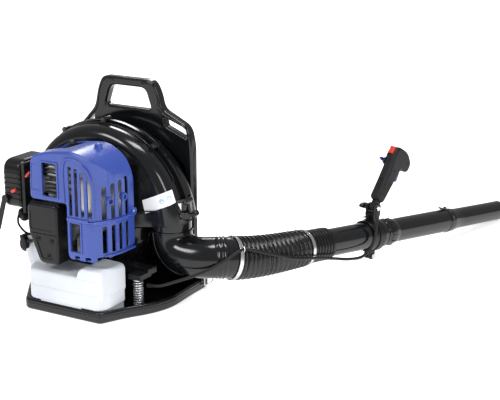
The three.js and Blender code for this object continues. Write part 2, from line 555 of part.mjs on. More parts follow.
// ---------- outlet elbow and flexible hose ----------
const boomDirection = new THREE.Vector3(Math.sin(THREE.MathUtils.degToRad(BOOM_YAW)),
  Math.cos(THREE.MathUtils.degToRad(BOOM_YAW)), 0)
  .multiplyScalar(Math.cos(THREE.MathUtils.degToRad(BOOM_DROOP)))
  .setZ(-Math.sin(THREE.MathUtils.degToRad(BOOM_DROOP)));
const nearDirection = new THREE.Vector3(0.52, 0.83, -0.2).normalize();
const elbowTop = new THREE.Vector3(DUCT_X, VOLUTE_SPLIT, DUCT_BOTTOM - GAP);
const elbowEnd = HOSE_NEAR.clone().addScaledVector(nearDirection, -6);
const elbowPath = new THREE.CubicBezierCurve3(elbowTop, elbowTop.clone().add(new THREE.Vector3(0, 0, -88)),
  elbowEnd.clone().addScaledVector(nearDirection, -70), elbowEnd);
const longer = (curve, extra) => {
  const [a, b, c, d] = [curve.v0, curve.v1, curve.v2, curve.v3];
  return new THREE.CubicBezierCurve3(a.clone().addScaledVector(curve.getTangentAt(0), -extra), b, c,
    d.clone().addScaledVector(curve.getTangentAt(1), extra));
};
part('outlet_elbow', 'gloss', cut(
  sweep(elbowPath, 9, 12, (u) => DUCT_RADIUS + 1 + u),
  sweep(longer(elbowPath, 5), 9, 12, (u) => DUCT_RADIUS - VOLUTE_WALL + u)));

const hosePath = new THREE.CubicBezierCurve3(
  HOSE_NEAR.clone().addScaledVector(nearDirection, -5.4),
    HOSE_NEAR.clone().addScaledVector(nearDirection, 60),
  HOSE_FAR.clone().addScaledVector(boomDirection, -60), HOSE_FAR.clone().addScaledVector(boomDirection, 5));
class Stretch extends THREE.Curve {     // the part of a curve between shares u0 and u1
  constructor(whole, u0, u1) { super(); Object.assign(this, { whole, u0, u1 }); }

  getPoint(u) { return this.whole.getPointAt(this.u0 + (this.u1 - this.u0) * u); }
}
const hoseRadius = (u) => HOSE_NEAR_RADIUS + (HOSE_FAR_RADIUS - HOSE_NEAR_RADIUS) * u;
const CORRUGATIONS = 5;                 // in each half of the hose
const RIDGE = 4;
const HOSE_WALL = 4;
function bellows(u0, u1) {
  const along = (u) => u0 + (u1 - u0) * u;
  const isPlain = (u) => along(u) < 0.07 || along(u) > 0.93;
  const ridge = (u) => (isPlain(u) ? 0 : RIDGE * (Math.round(u * CORRUGATIONS * 2) % 2));
  const bore = new Stretch(hosePath, u0, u1);
  const ends = [u0, u1].map((u) => {
    const middle = hosePath.getPointAt(u);
    const reach = hosePath.getTangentAt(u).multiplyScalar(2);
    return sweep(new THREE.LineCurve3(middle.clone().sub(reach), middle.clone().add(reach)), 1, 12,
      () => hoseRadius(u) - HOSE_WALL);
  });
  return cut(sweep(bore, CORRUGATIONS * 2, 12, (u) => hoseRadius(along(u)) + ridge(u)),
    sweep(bore, 4, 12, (u) => hoseRadius(along(u)) - HOSE_WALL), ...ends);
}
part('bellows_near', 'rubber', bellows(0, 0.4985));
part('bellows_far', 'rubber', bellows(0.5, 1));

function hoseClamp(centre, direction, radius) {
  const along = (s) => centre.clone().addScaledVector(direction, s);
  const down = new THREE.Vector3(0, 0, -1).addScaledVector(direction, direction.z).normalize();
  const out = new THREE.Vector3().crossVectors(direction, down);
  const screwAt = centre.clone().addScaledVector(out, radius + 4);
  return join(sleeve(along(-4.5), along(4.5), radius + 1.6, radius, 20),
    rod(screwAt.clone().addScaledVector(down, -9), screwAt.clone().addScaledVector(down, 9), 4, 8));
}
const nearCentre = hosePath.getPointAt(0.03);
const nearTangent = hosePath.getTangentAt(0.03);
const clipOut = new THREE.Vector3(0.62, -0.5, 0.6);
clipOut.addScaledVector(nearTangent, -clipOut.dot(nearTangent)).normalize();
const clipCentre = nearCentre.clone().addScaledVector(clipOut, HOSE_NEAR_RADIUS + 8.6);
const clipRing = new THREE.TorusGeometry(6.2, 1.1, 5, 12)
  .applyQuaternion(new THREE.Quaternion().setFromUnitVectors(new THREE.Vector3(0, 0, 1), nearTangent))
  .translate(...clipCentre.toArray());
part('hose_clamp_near', 'steel', join(hoseClamp(nearCentre, nearTangent, HOSE_NEAR_RADIUS + 1), clipRing));

// ---------- boom: cuff, tubes and nozzle, drawn along +Y from the far clamp ----------
const boom = new THREE.Group();
boom.position.copy(HOSE_FAR);
boom.rotation.set(THREE.MathUtils.degToRad(-BOOM_DROOP), 0, THREE.MathUtils.degToRad(-BOOM_YAW), 'ZXY');
blower.add(boom);
const alongBoom = (profile, sides = 16) => turned(profile, [0, 0, 0], [0, 1, 0], sides);

part('hose_clamp_far', 'steel', hoseClamp(new THREE.Vector3(0, -4, 0), new THREE.Vector3(0, 1, 0),
  HOSE_FAR_RADIUS + 1.8), boom);
function cuff() {
  const outer = [[36.5, 6], [40, 6]];
  for (let i = 0; i < 3; i += 1) {
    const y = 16 + i * 18;
    outer.push([40, y], [37.5, y + 1], [37.5, y + 4], [40, y + 5]);
  }
  return alongBoom([...outer, [38.5, 78], [36.5, 78], [36.5, 6]]);
}
part('swivel_cuff', 'matte', cuff(), boom);
const JOINT_1 = 286;
const JOINT_2 = 560;
part('swivel_tube', 'gloss', alongBoom([[SWIVEL_RADIUS - TUBE_WALL, 12], [35.5, 12], [35.5, 20],
  [SWIVEL_RADIUS, 22],
  [SWIVEL_RADIUS, JOINT_1], [SWIVEL_RADIUS - TUBE_WALL, JOINT_1], [SWIVEL_RADIUS - TUBE_WALL, 12]]), boom);
part('middle_tube', 'gloss', join(alongBoom([[MIDDLE_RADIUS - TUBE_WALL, JOINT_1 + 1],
  [MIDDLE_RADIUS + 4, JOINT_1 + 1],
  [MIDDLE_RADIUS + 4, JOINT_1 + 8], [MIDDLE_RADIUS + 2, JOINT_1 + 10], [MIDDLE_RADIUS + 3.5, JOINT_1 + 18],
  [MIDDLE_RADIUS + 3.5, JOINT_1 + 30], [MIDDLE_RADIUS, JOINT_1 + 46], [MIDDLE_RADIUS, JOINT_2 - 8],
  [MIDDLE_RADIUS + 1.5, JOINT_2 - 6], [MIDDLE_RADIUS + 1.5, JOINT_2], [MIDDLE_RADIUS - TUBE_WALL, JOINT_2],
  [MIDDLE_RADIUS - TUBE_WALL, JOINT_1 + 1]]),
  plate(outline([[JOINT_2 - 34, MIDDLE_RADIUS + 8, 1], [JOINT_2 - 4, MIDDLE_RADIUS - 1, 0],
    [JOINT_2 - 2, MIDDLE_RADIUS + 7, 2]]),
    'x', -3, 3)), boom);
part('nozzle', 'gloss', alongBoom([[NOZZLE_RADIUS - TUBE_WALL, JOINT_2 + GAP],
  [MIDDLE_RADIUS + 1, JOINT_2 + GAP],
  [MIDDLE_RADIUS + 1, JOINT_2 + 12], [NOZZLE_RADIUS + 1, JOINT_2 + 34], [NOZZLE_RADIUS, JOINT_2 + 50],
  [NOZZLE_RADIUS, BOOM_LENGTH], [NOZZLE_RADIUS - TUBE_WALL, BOOM_LENGTH],
  [NOZZLE_RADIUS - TUBE_WALL, JOINT_2 + GAP]], 24), boom);

// ---------- handle bracket ----------
const RING_INNER = SWIVEL_RADIUS + 1;
function bracket() {
  const ring = sleeve([0, BRACKET_AT - 10, 0], [0, BRACKET_AT + 10, 0], RING_INNER + 7, RING_INNER, 20);
  const lugs = [-1, 1].map((side) => plate(outline([[BRACKET_AT - 10, -RING_INNER - 2, 0],
    [BRACKET_AT - 9, -62, 7],
    [BRACKET_AT + 9, -62, 7], [BRACKET_AT + 10, -RING_INNER - 2, 0]]), 'x',
      ...(side < 0 ? [-10, -3] : [3, 10])));
  const neck = plate(outline([[BRACKET_AT - 12, RING_INNER + 2, 0], [BRACKET_AT - 14, 56, 3],
    [BRACKET_AT + 12, 56, 3],
    [BRACKET_AT + 10, RING_INNER + 2, 0]]), 'x', -14, 14);
  const ears = [-1, 1].map((side) => plate(outline([[BRACKET_AT - 14, 50, 0],
    [BRACKET_AT - 13, PIVOT_HEIGHT + 10, 9],
    [BRACKET_AT + 13, PIVOT_HEIGHT + 10, 9], [BRACKET_AT + 12, 50, 0]]), 'x',
      ...(side < 0 ? [-14, -8.5] : [8.5, 14])));
  const hook = plate(outline([[BRACKET_AT - 44, 50, 1], [BRACKET_AT - 6, 40, 0],
    [BRACKET_AT - 8, 52, 2]]), 'x', -2, 2);
  return cut(join(ring, ...lugs, neck, ...ears, hook),
    block([-3, 3], [BRACKET_AT - 20, BRACKET_AT + 20], [-80, -RING_INNER + 2]),
    rod([-30, BRACKET_AT, PIVOT_HEIGHT], [30, BRACKET_AT, PIVOT_HEIGHT], 3.4, 12),
    rod([-30, BRACKET_AT, -53], [30, BRACKET_AT, -53], 3.4, 12));
}
part('handle_bracket', 'matte', bracket(), boom);
part('bracket_bolt', 'steel', join(rod([-16, BRACKET_AT, -53], [14, BRACKET_AT, -53], 3, 12),
  rod([10 + GAP, BRACKET_AT, -53], [15, BRACKET_AT, -53], 6, 6), rod([-15, BRACKET_AT, -53],
    [-10 - GAP, BRACKET_AT, -53], 6, 6)), boom);
part('tilt_knob', 'matte', join(rod([-20, BRACKET_AT, PIVOT_HEIGHT], [17, BRACKET_AT, PIVOT_HEIGHT], 3, 12),
  rod([-24, BRACKET_AT, PIVOT_HEIGHT], [-14 - GAP, BRACKET_AT, PIVOT_HEIGHT], 8, 12),
  rod([14 + GAP, BRACKET_AT, PIVOT_HEIGHT], [18, BRACKET_AT, PIVOT_HEIGHT], 6, 6),
  plate(outline([[BRACKET_AT - 16, PIVOT_HEIGHT - 5, 5], [BRACKET_AT - 16, PIVOT_HEIGHT + 5, 5],
    [BRACKET_AT + 16, PIVOT_HEIGHT + 5, 5], [BRACKET_AT + 16, PIVOT_HEIGHT - 5, 5]]), 'x',
      -36, -22, 2)), boom);

// ---------- control handle, drawn upright with its pivot at the origin ----------
const handle = new THREE.Group();
handle.position.set(0, BRACKET_AT, PIVOT_HEIGHT);
handle.rotation.x = THREE.MathUtils.degToRad(-HANDLE_LEAN);
boom.add(handle);

const TRIGGER_PIVOT = [13, 120];
const SWITCH_AT = [-27, 148];
function gripShell(side) {
  const profile = outline([[-20, 18, 10], [-22, 60, 30], [-27, 112, 20], [-37, 136, 12], [-33, 166, 14],
    [16, 172, 16], [46, 154, 14], [46, 124, 12], [18, 124, 6], [15, 60, 30], [14, 18, 10]]);
  const [low, high] = side < 0 ? [-GRIP_HALF, -GAP / 2] : [GAP / 2, GRIP_HALF];
  const whole = plate(profile, 'x', low - (side > 0 ? GRIP_HALF : 0), high + (side < 0 ? GRIP_HALF : 0), 4);
  const halfSpace = block([low, high], [-80, 80], [-30, 200]);
  const eye = rod([low < 0 ? -8 : GAP / 2, 0, 0], [low < 0 ? -GAP / 2 : 8, 0, 0], 8.5, 14);
  const lug = block([low < 0 ? -8 : GAP / 2, low < 0 ? -GAP / 2 : 8], [-8, 8], [0, 28]);
  const slot = block([-5.5, 5.5], [-2, 30], [84, 131]);
  const pocket = block([-8, 8], [-50, -19], [SWITCH_AT[1] - 12, SWITCH_AT[1] + 12]);
  const bore = rod([-20, 0, 0], [20, 0, 0], 3.4, 12);
  return cut(join(keep(whole, halfSpace), eye, lug), slot, pocket, bore);
}
part('grip_shell_left', 'matte', gripShell(-1), handle);
part('grip_shell_right', 'matte', gripShell(1), handle);
part('throttle_trigger', 'navy', plate(outline([[8, 117, 3], [10, 128, 3], [24, 128, 3], [27, 112, 10],
  [31, 92, 3],
  [25, 88, 3], [19, 104, 8]]), 'x', -5, 5, 1), handle);
part('cruise_lever', 'navy', join(rod([-GRIP_HALF - GAP, -20, 122], [-GRIP_HALF - 4, -20, 122], 9, 14),
  plate(outline([[-20, 128, 0], [-48, 124, 3], [-52, 116, 3], [-40, 114, 4], [-20, 116, 0]]), 'x',
    -GRIP_HALF - 4, -GRIP_HALF - GAP)), handle);
part('stop_switch', 'red', plate(outline([[-24, SWITCH_AT[1] - 9, 2], [-38, SWITCH_AT[1] - 9.5, 2],
  [-36, SWITCH_AT[1], 6],
  [-38, SWITCH_AT[1] + 9.5, 2], [-24, SWITCH_AT[1] + 9, 2]]), 'x', -7, 7, 1), handle);

// ---------- throttle cable ----------
// Points are in the blower's frame; the last ones are taken from the boom's frame.
boom.updateMatrixWorld(true);
const onBoom = (x, y, z) => new THREE.Vector3(x, y, z).applyMatrix4(boom.matrixWorld);
const cableTube = (points, steps) =>
  sweep(new THREE.CatmullRomCurve3(points.map(vec), false, 'centripetal'), steps, 6, () => 3.5);
const beside = (path, u, out, up) => {
  const right = new THREE.Vector3().crossVectors(path.getTangentAt(u),
    new THREE.Vector3(0, 0, 1)).normalize();
  return path.getPointAt(u).addScaledVector(right, out).add(new THREE.Vector3(0, 0, up));
};
const hoseSide = (u, out, up) => beside(hosePath, u, out, up);
const cableMiddle = hoseSide(0.5, 53, 12);
const cableNext = hoseSide(0.66, 54, 0);
const cableStep = cableNext.clone().sub(cableMiddle).setLength(2 * GAP);
part('throttle_cable_rear', 'rubber', cableTube([[151, -46, 60], [180, -40, 58], [214, -26, 66],
  beside(elbowPath, 0.74, 56, -14), beside(elbowPath, 0.9, 54, 14), clipCentre, hoseSide(0.16, 54, 34),
  hoseSide(0.32, 55, 24), cableMiddle], 26));
part('throttle_cable_front', 'rubber', cableTube([cableMiddle.clone().add(cableStep), cableNext,
  hoseSide(0.9, 52, -10), onBoom(46, 60, -24), onBoom(46, 120, -34), onBoom(46, 170, -34),
    onBoom(46, 200, -16),
  onBoom(44, 214, 16), onBoom(36, 224, 46), onBoom(22, 236, 66)], 26));

// ---------- carrying harness ----------
part('back_pad', 'fabric', plate(outline(mirrored([[120, 92, 18], [128, 240, 60], [104, 322, 24]])),
  'y', FRAME_FRONT + GAP, 160, 9));
function strap(side) {
  const line = new THREE.CatmullRomCurve3([[140, 330], [158, 338], [186, 322], [206, 262], [204, 190],
    [188, 120]]
    .map(([y, z]) => new THREE.Vector3(y, z, 0)));
  const steps = 14;
  const edge = (sign) => Array.from({ length: steps + 1 }, (_, i) => {
    const tangent = line.getTangentAt(i / steps);
    return line.getPointAt(i / steps).add(new THREE.Vector3(-tangent.y, tangent.x,
      0).multiplyScalar(sign * 6));
  });
  const shape = new THREE.Shape([...edge(1), ...edge(-1).reverse()].map((p) => new THREE.Vector2(p.x,
    p.y)));
  const x = side * 72;
  const anchor = block([x - 16, x + 16], [FRAME_FRONT + GAP, 142], [324, 336]);
  const webbing = new THREE.BoxGeometry(26, 2.4, 112)
    .applyMatrix4(new THREE.Matrix4().makeRotationY(-side * 0.95))
    .translate(side * 112, 182, 88);
  return join(plate(shape, 'x', x - 28, x + 28), anchor, webbing);
}
sidesOf((word, side) => part(`shoulder_strap_${word}`, 'fabric', strap(side)));
sidesOf((word, side) => {
  const y = 150;
  const ring = new THREE.CatmullRomCurve3([[0, 0], [0, 14], [-2, 18], [-24, 19], [-28, 16], [-28, -16],
    [-24, -19],
    [-2, -18], [0, -14]].map(([z, dy]) => new THREE.Vector3(side * RING_X, y + dy, RING_Z + z)), true);
  part(`strap_ring_${word}`, 'steel', new THREE.ExtrudeGeometry(
    new THREE.Shape(new THREE.Path().absarc(0, 0, 1.7, 0, 2 * Math.PI).getPoints(4)),
    { steps: 14, curveSegments: 4, extrudePath: ring, bevelEnabled: false }));
});

export default blower;
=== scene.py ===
"""Backpack leaf blower: the visual model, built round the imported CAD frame.

Shapes are worked out in millimetres and turned into metres when a mesh is made.
+X is the wearer's right, +Y forward, +Z up, and the origin is the middle of the base's underside.
"""
import math

import bmesh
import bpy
from mathutils import Matrix, Vector
from mathutils.geometry import tessellate_polygon


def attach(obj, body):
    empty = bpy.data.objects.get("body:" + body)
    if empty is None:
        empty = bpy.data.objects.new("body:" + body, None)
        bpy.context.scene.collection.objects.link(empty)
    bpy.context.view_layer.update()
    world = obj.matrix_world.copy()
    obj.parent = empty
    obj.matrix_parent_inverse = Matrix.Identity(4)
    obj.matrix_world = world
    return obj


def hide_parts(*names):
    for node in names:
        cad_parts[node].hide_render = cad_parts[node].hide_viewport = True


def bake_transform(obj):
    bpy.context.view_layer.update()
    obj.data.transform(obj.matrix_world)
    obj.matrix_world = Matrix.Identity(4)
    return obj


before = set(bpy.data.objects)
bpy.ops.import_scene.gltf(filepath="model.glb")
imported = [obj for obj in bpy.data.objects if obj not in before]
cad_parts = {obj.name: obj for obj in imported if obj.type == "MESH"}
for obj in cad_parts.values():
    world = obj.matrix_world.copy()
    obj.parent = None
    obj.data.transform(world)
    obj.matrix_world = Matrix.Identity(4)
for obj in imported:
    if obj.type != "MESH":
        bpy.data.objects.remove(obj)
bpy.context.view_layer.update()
MM = 0.001
scene = bpy.context.scene


# ---------- camera, light and floor ----------
def link(name, data):
    obj = bpy.data.objects.new(name, data)
    scene.collection.objects.link(obj)
    return obj


def look_along(azimuth, elevation):
    a, e = math.radians(azimuth), math.radians(elevation)
    return Vector((-math.sin(a) * math.cos(e), math.cos(a) * math.cos(e), -math.sin(e)))


def add_camera():
    data = bpy.data.cameras.new("camera")
    data.lens, data.sensor_width, data.clip_end = 90, 36, 100
    obj = link("camera", data)
    obj.location = (1.688, -2.242, 1.027)
    obj.rotation_euler = look_along(30, 16).to_track_quat("-Z", "Y").to_euler()
    scene.camera = obj


def softbox(name, location, target, size, power):
    data = bpy.data.lights.new(name, "AREA")
    data.shape, data.size, data.size_y, data.energy = "RECTANGLE", size[0], size[1], power
    obj = link(name, data)
    obj.location = location
    obj.rotation_euler = (Vector(target) - Vector(location)).to_track_quat("-Z", "Y").to_euler()


def add_studio():
    world = bpy.data.worlds.new("studio")
    scene.world = world
    world.use_nodes = True
    background = world.node_tree.nodes["Background"]
    background.inputs["Color"].default_value = (1, 1, 1, 1)
    background.inputs["Strength"].default_value = 0.42
    middle = (0.2, 0.2, 0.25)
    softbox("key", (-1.1, -2.3, 2.5), middle, (1.2, 0.8), 52)
    softbox("top", (0.5, 0.1, 2.8), middle, (1.6, 0.5), 46)
    softbox("side", (2.5, -1.3, 1.7), middle, (0.6, 1.5), 34)
    softbox("back", (-1.4, 2.8, 2.0), middle, (1.2, 0.9), 30)
    floor = bpy.data.meshes.new("floor")
    reach = 40
    floor.from_pydata([(-reach, -reach, 0), (reach, -reach, 0), (reach, reach, 0), (-reach, reach, 0)], [],
                      [(0, 1, 2, 3)])
    floor.materials.append(plain("floor_paper", (0.94, 0.94, 0.945), 0.9, Emission_Color=(1, 1, 1, 1),
                                 Emission_Strength=0.62))
    link("floor", floor)
    scene.view_settings.view_transform = "Standard"


# ---------- materials ----------
def new_material(name, color, roughness, metallic=0.0, **sockets):
    mat = bpy.data.materials.new(name)
    mat.use_nodes = True
    shader = mat.node_tree.nodes["Principled BSDF"]
    shader.inputs["Base Color"].default_value = (*color, 1)
    shader.inputs["Roughness"].default_value = roughness
    shader.inputs["Metallic"].default_value = metallic
    for socket, value in sockets.items():
        shader.inputs[socket.replace("_", " ")].default_value = value
    return mat, mat.node_tree, shader


def plain(name, color, roughness, **sockets):
    return new_material(name, color, roughness, **sockets)[0]


def noise(tree, scale, detail, stretch=(1, 1, 1)):
    where = tree.nodes.new("ShaderNodeTexCoord")
    mapping = tree.nodes.new("ShaderNodeMapping")
    mapping.inputs["Scale"].default_value = stretch
    texture = tree.nodes.new("ShaderNodeTexNoise")
    texture.inputs["Scale"].default_value = scale
    texture.inputs["Detail"].default_value = detail
    tree.links.new(where.outputs["Object"], mapping.inputs["Vector"])
    tree.links.new(mapping.outputs["Vector"], texture.inputs["Vector"])
    return texture.outputs["Fac"]


def ranged(tree, value, low, high):
    node = tree.nodes.new("ShaderNodeMapRange")
    node.inputs["From Min"].default_value, node.inputs["From Max"].default_value = 0.3, 0.7
    node.inputs["To Min"].default_value, node.inputs["To Max"].default_value = low, high
    tree.links.new(value, node.inputs["Value"])
    return node.outputs["Result"]


def tinted(tree, shader, factor, first, second):
    mix = tree.nodes.new("ShaderNodeMix")
    mix.data_type = "RGBA"
    mix.inputs["A"].default_value, mix.inputs["B"].default_value = (*first, 1), (*second, 1)
    tree.links.new(factor, mix.inputs["Factor"])
    tree.links.new(mix.outputs["Result"], shader.inputs["Base Color"])


def bumped(tree, shader, height, strength, distance=0.0004):
    bump = tree.nodes.new("ShaderNodeBump")
    bump.inputs["Strength"].default_value = strength
    bump.inputs["Distance"].default_value = distance
    tree.links.new(height, bump.inputs["Height"])
    tree.links.new(bump.outputs["Normal"], shader.inputs["Normal"])


def moulded(name, color, rough, grain, depth, spread, wear=None, metallic=0.0, stretch=(1, 1, 1),
            **sockets):
    """A moulded or cast surface: fine grain, patchy gloss and a slight drift of colour."""
    mat, tree, shader = new_material(name, color, rough, metallic, **sockets)
    patches = noise(tree, 14, 3)
    tree.links.new(ranged(tree, patches, rough - spread, rough + spread), shader.inputs["Roughness"])
    tinted(tree, shader, ranged(tree, noise(tree, 5, 4), 0, 1), [c * 0.86 for c in color],
           [min(1, c * 1.12) for c in color] if wear is None else wear)
    bumped(tree, shader, noise(tree, grain, 2, stretch), depth)
    return mat


def woven(name, color, pitch, depth=0.7):
    """Plain-weave cloth: two crossed sets of yarns and a little fuzz."""
    mat, tree, shader = new_material(name, color, 0.85, Sheen_Weight=0.35, Sheen_Roughness=0.5)
    where = tree.nodes.new("ShaderNodeTexCoord")
    waves = []
    for direction in ("X", "Z"):
        wave = tree.nodes.new("ShaderNodeTexWave")
        wave.bands_direction = direction
        wave.inputs["Scale"].default_value = 0.314 / pitch
        wave.inputs["Distortion"].default_value = 0.6
        tree.links.new(where.outputs["Object"], wave.inputs["Vector"])
        waves.append(wave.outputs["Fac"])
    height = tree.nodes.new("ShaderNodeMath")
    height.operation = "MULTIPLY"
    tree.links.new(waves[0], height.inputs[0])
    tree.links.new(waves[1], height.inputs[1])
    tinted(tree, shader, height.outputs[0], [c * 0.55 for c in color], [c * 1.5 for c in color])
    bumped(tree, shader, height.outputs[0], depth, 0.0006)
    return mat


LOOK = {
    "gloss": moulded("black_gloss_plastic", (0.0045, 0.0049, 0.0058), 0.15, 1100, 0.03, 0.04,
                     Specular_IOR_Level=0.38),
    "satin": moulded("black_satin_plastic", (0.0055, 0.0058, 0.0066), 0.28, 2200, 0.1, 0.05,
                     Specular_IOR_Level=0.24),
    "grain": moulded("black_grained_plastic", (0.0065, 0.0068, 0.0076), 0.46, 1500, 0.3, 0.06,
                     Specular_IOR_Level=0.24),
    "blue": moulded("blue_plastic", (0.027, 0.060, 0.30), 0.27, 1500, 0.05, 0.05),
    "white": moulded("white_polyethylene", (0.58, 0.61, 0.66), 0.36, 900, 0.06, 0.05,
                     wear=(0.64, 0.67, 0.71), Subsurface_Weight=0.12, Subsurface_Scale=0.01),
    "rubber": moulded("black_rubber", (0.0055, 0.0056, 0.0062), 0.45, 1300, 0.3, 0.07, Specular_IOR_Level=0.25),
    "hose": moulded("black_hose", (0.006, 0.006, 0.0068), 0.27, 1200, 0.1, 0.05, Specular_IOR_Level=0.45),
    "dark_steel": moulded("blackened_steel", (0.09, 0.09, 0.095), 0.35, 2600, 0.08, 0.06, metallic=1.0),
    "steel": moulded("zinc_plated_steel", (0.55, 0.56, 0.58), 0.24, 2600, 0.05, 0.06, metallic=1.0,
                     stretch=(1, 1, 0.2)),
    "alloy": moulded("cast_aluminium", (0.44, 0.45, 0.46), 0.42, 1500, 0.3, 0.08, metallic=1.0),
    "sheet": moulded("pressed_sheet_steel", (0.62, 0.6, 0.57), 0.33, 1200, 0.1, 0.1, metallic=1.0,
                     wear=(0.45, 0.42, 0.38)),
    "red": moulded("red_plastic", (0.5, 0.035, 0.02), 0.32, 1500, 0.05, 0.05),
    "navy": moulded("navy_plastic", (0.02, 0.035, 0.16), 0.33, 1500, 0.06, 0.05),
    "felt": moulded("filter_felt", (0.05, 0.05, 0.05), 0.9, 500, 0.8, 0.04),
    "reel": moulded("ivory_nylon", (0.62, 0.6, 0.54), 0.42, 1400, 0.1, 0.05),
    "label": moulded("blank_label", (0.82, 0.83, 0.84), 0.34, 2600, 0.03, 0.04),
    "ink": moulded("label_ink", (0.36, 0.50, 0.78), 0.4, 2600, 0.03, 0.04),
    "mesh": woven("spacer_mesh", (0.02, 0.021, 0.023), 0.0026),
    "rope": woven("braided_cord", (0.045, 0.047, 0.052), 0.0011),
    "webbing": woven("nylon_webbing", (0.014, 0.0145, 0.016), 0.0016),
    "piping": woven("edge_binding", (0.028, 0.03, 0.033), 0.0012, 0.4),
}


# ---------- shapes: (points in mm, faces) ----------
def box(x, y, z):
    points = [(a, b, c) for c in z for b in y for a in x]
    return points, [(0, 2, 3, 1), (4, 5, 7, 6), (0, 1, 5, 4), (2, 6, 7, 3), (0, 4, 6, 2), (1, 3, 7, 5)]


def merged(*shapes):
    points, faces = [], []
    for shape_points, shape_faces in shapes:
        start = len(points)
        points.extend(shape_points)
        faces.extend(tuple(i + start for i in face) for face in shape_faces)
    return points, faces


def moved(shape, matrix):
    return [tuple(matrix @ Vector(p)) for p in shape[0]], shape[1]


def rounded(corners, segments=7):
    """Outline with rounded corners from (a, b, radius) corners."""
    points = []
    for i, (a, b, radius) in enumerate(corners):
        here = Vector((a, b))
        before, after = Vector(corners[i - 1][:2]), Vector(corners[(i + 1) % len(corners)][:2])
        reach = min(radius, 0.48 * min((before - here).length, (after - here).length))
        if reach <= 0:
            points.append((a, b))
            continue
        start = here + (before - here).normalized() * reach
        end = here + (after - here).normalized() * reach
        for k in range(segments + 1):
            t = k / segments
            points.append(tuple(start * (1 - t) ** 2 + here * 2 * t * (1 - t) + end * t * t))
    return points


def rect(a0, a1, b0, b1, radius):
    return [(a0, b0, radius), (a1, b0, radius), (a1, b1, radius), (a0, b1, radius)]


def both_sides(half):
    return half + [(-a, b, r) for a, b, r in reversed(half)]


def area(points):
    return sum(p[0] * q[1] - q[0] * p[1] for p, q in zip(points, points[1:] + points[:1])) / 2


def inset(points, distance):
    """Moves an outline towards its left-hand side."""
    result = []
    count = len(points)
    for i in range(count):
        a, b, c = Vector(points[i - 1]), Vector(points[i]), Vector(points[(i + 1) % count])
        first, second = (b - a).normalized(), (c - b).normalized()
        n1, n2 = Vector((-first.y, first.x)), Vector((-second.y, second.x))
        spread = max(0.35, 1 + n1.dot(n2))
        result.append(tuple(b + (n1 + n2) * (distance / spread)))
    return result


AXES = {"x": lambda a, b, c: (c, a, b), "y": lambda a, b, c: (a, c, b), "z": lambda a, b, c: (a, b, c)}


def prism(outer, axis, low, high, bevel=0.0, holes=(), segments=4):
    """An outline pushed through from low to high with rounded edges."""
    loops = [outer if area(outer) > 0 else outer[::-1]]
    loops += [hole if area(hole) < 0 else hole[::-1] for hole in holes]
    steps = segments if bevel else 0
    layers = []
    for k in range(steps + 1):
        angle = math.pi / 2 * (k / steps if steps else 1)
        layers.append((bevel * (1 - math.sin(angle)), low + bevel * (1 - math.cos(angle))))
    layers += [(d, high + low - h) for d, h in reversed(layers)]
    place = AXES[axis]
    points, faces, starts = [], [], []
    for distance, height in layers:
        starts.append(len(points))
        for loop in loops:
            ring = inset(loop, distance) if distance > 1e-6 else loop
            points.extend(place(a, b, height) for a, b in ring)
    for lower, upper in zip(starts, starts[1:]):
        offset = 0
        for loop in loops:
            count = len(loop)
            for i in range(count):
                j = (i + 1) % count
                faces.append((lower + offset + i, lower + offset + j, upper + offset + j, upper + offset + i))
            offset += count
    flat = [[Vector((a, b, 0)) for a, b in (inset(loop, layers[0][0]) if layers[0][0] > 1e-6 else loop)]
            for loop in loops]
    for i, j, k in tessellate_polygon(flat):
        turn = (flat_point(flat, j) - flat_point(flat, i)).cross(flat_point(flat, k) - flat_point(flat, i)).z
        i, k = (i, k) if turn > 0 else (k, i)
        faces.append((starts[-1] + i, starts[-1] + j, starts[-1] + k))
        faces.append((k, j, i))
    return points, faces


def slab(corners, axis, low, high, bevel=0.0, holes=(), segments=4, arc=7):
    """A prism whose outline has rounded corners of `arc` segments."""
    return prism(rounded(corners, arc), axis, low, high, bevel, holes, segments)


def flat_point(loops, index):
    for loop in loops:
        if index < len(loop):
            return loop[index]
        index -= len(loop)


def ring_basis(direction):
    direction = Vector(direction).normalized()
    helper = Vector((0, 0, 1)) if abs(direction.z) < 0.9 else Vector((1, 0, 0))
    side = direction.cross(helper).normalized()
    return side, side.cross(direction).normalized(), direction


def circle(side, up, count):
    """Unit vectors spaced evenly round a circle."""
    return [side * math.cos(a) + up * math.sin(a) for a in (2 * math.pi * j / count for j in range(count))]


def tube_faces(count, sides, closed=False, first=0):
    faces = []
    for i in range(count - (0 if closed else 1)):
        here, there = first + i * sides, first + ((i + 1) % count) * sides
        for j in range(sides):
            k = (j + 1) % sides
            faces.append((here + j, here + k, there + k, there + j))
    return faces


def caps(count, sides):
    """The two end faces of a tube of `count` rings."""
    return [tuple(range(sides))[::-1], tuple(range((count - 1) * sides, count * sides))]


def lathe(profile, origin, direction, sides):
    """Turns (radius, height) points about an axis. The profile is closed when it ends where it starts."""
    side, up, along = ring_basis(direction)
    origin = Vector(origin)
    closed = profile[0] == profile[-1] and profile[0][0] > 0
    rows = profile[:-1] if closed else profile
    points = []
    for radius, height in rows:
        points += [tuple(origin + along * height + way * max(radius, 1e-4)) for way in circle(side, up, sides)]
    faces = tube_faces(len(rows), sides, closed)
    if not closed:
        faces += caps(len(rows), sides)
    return points, faces


def pin(start, end, radius, sides=32, bevel=0.0):
    length = (Vector(end) - Vector(start)).length
    b = min(bevel, length / 2, radius)
    profile = [(0, 0), (radius - b, 0), (radius, b), (radius, length - b), (radius - b, length), (0, length)]
    return lathe(profile if b else [(0, 0), (radius, 0), (radius, length), (0, length)], start,
                 Vector(end) - Vector(start), sides)


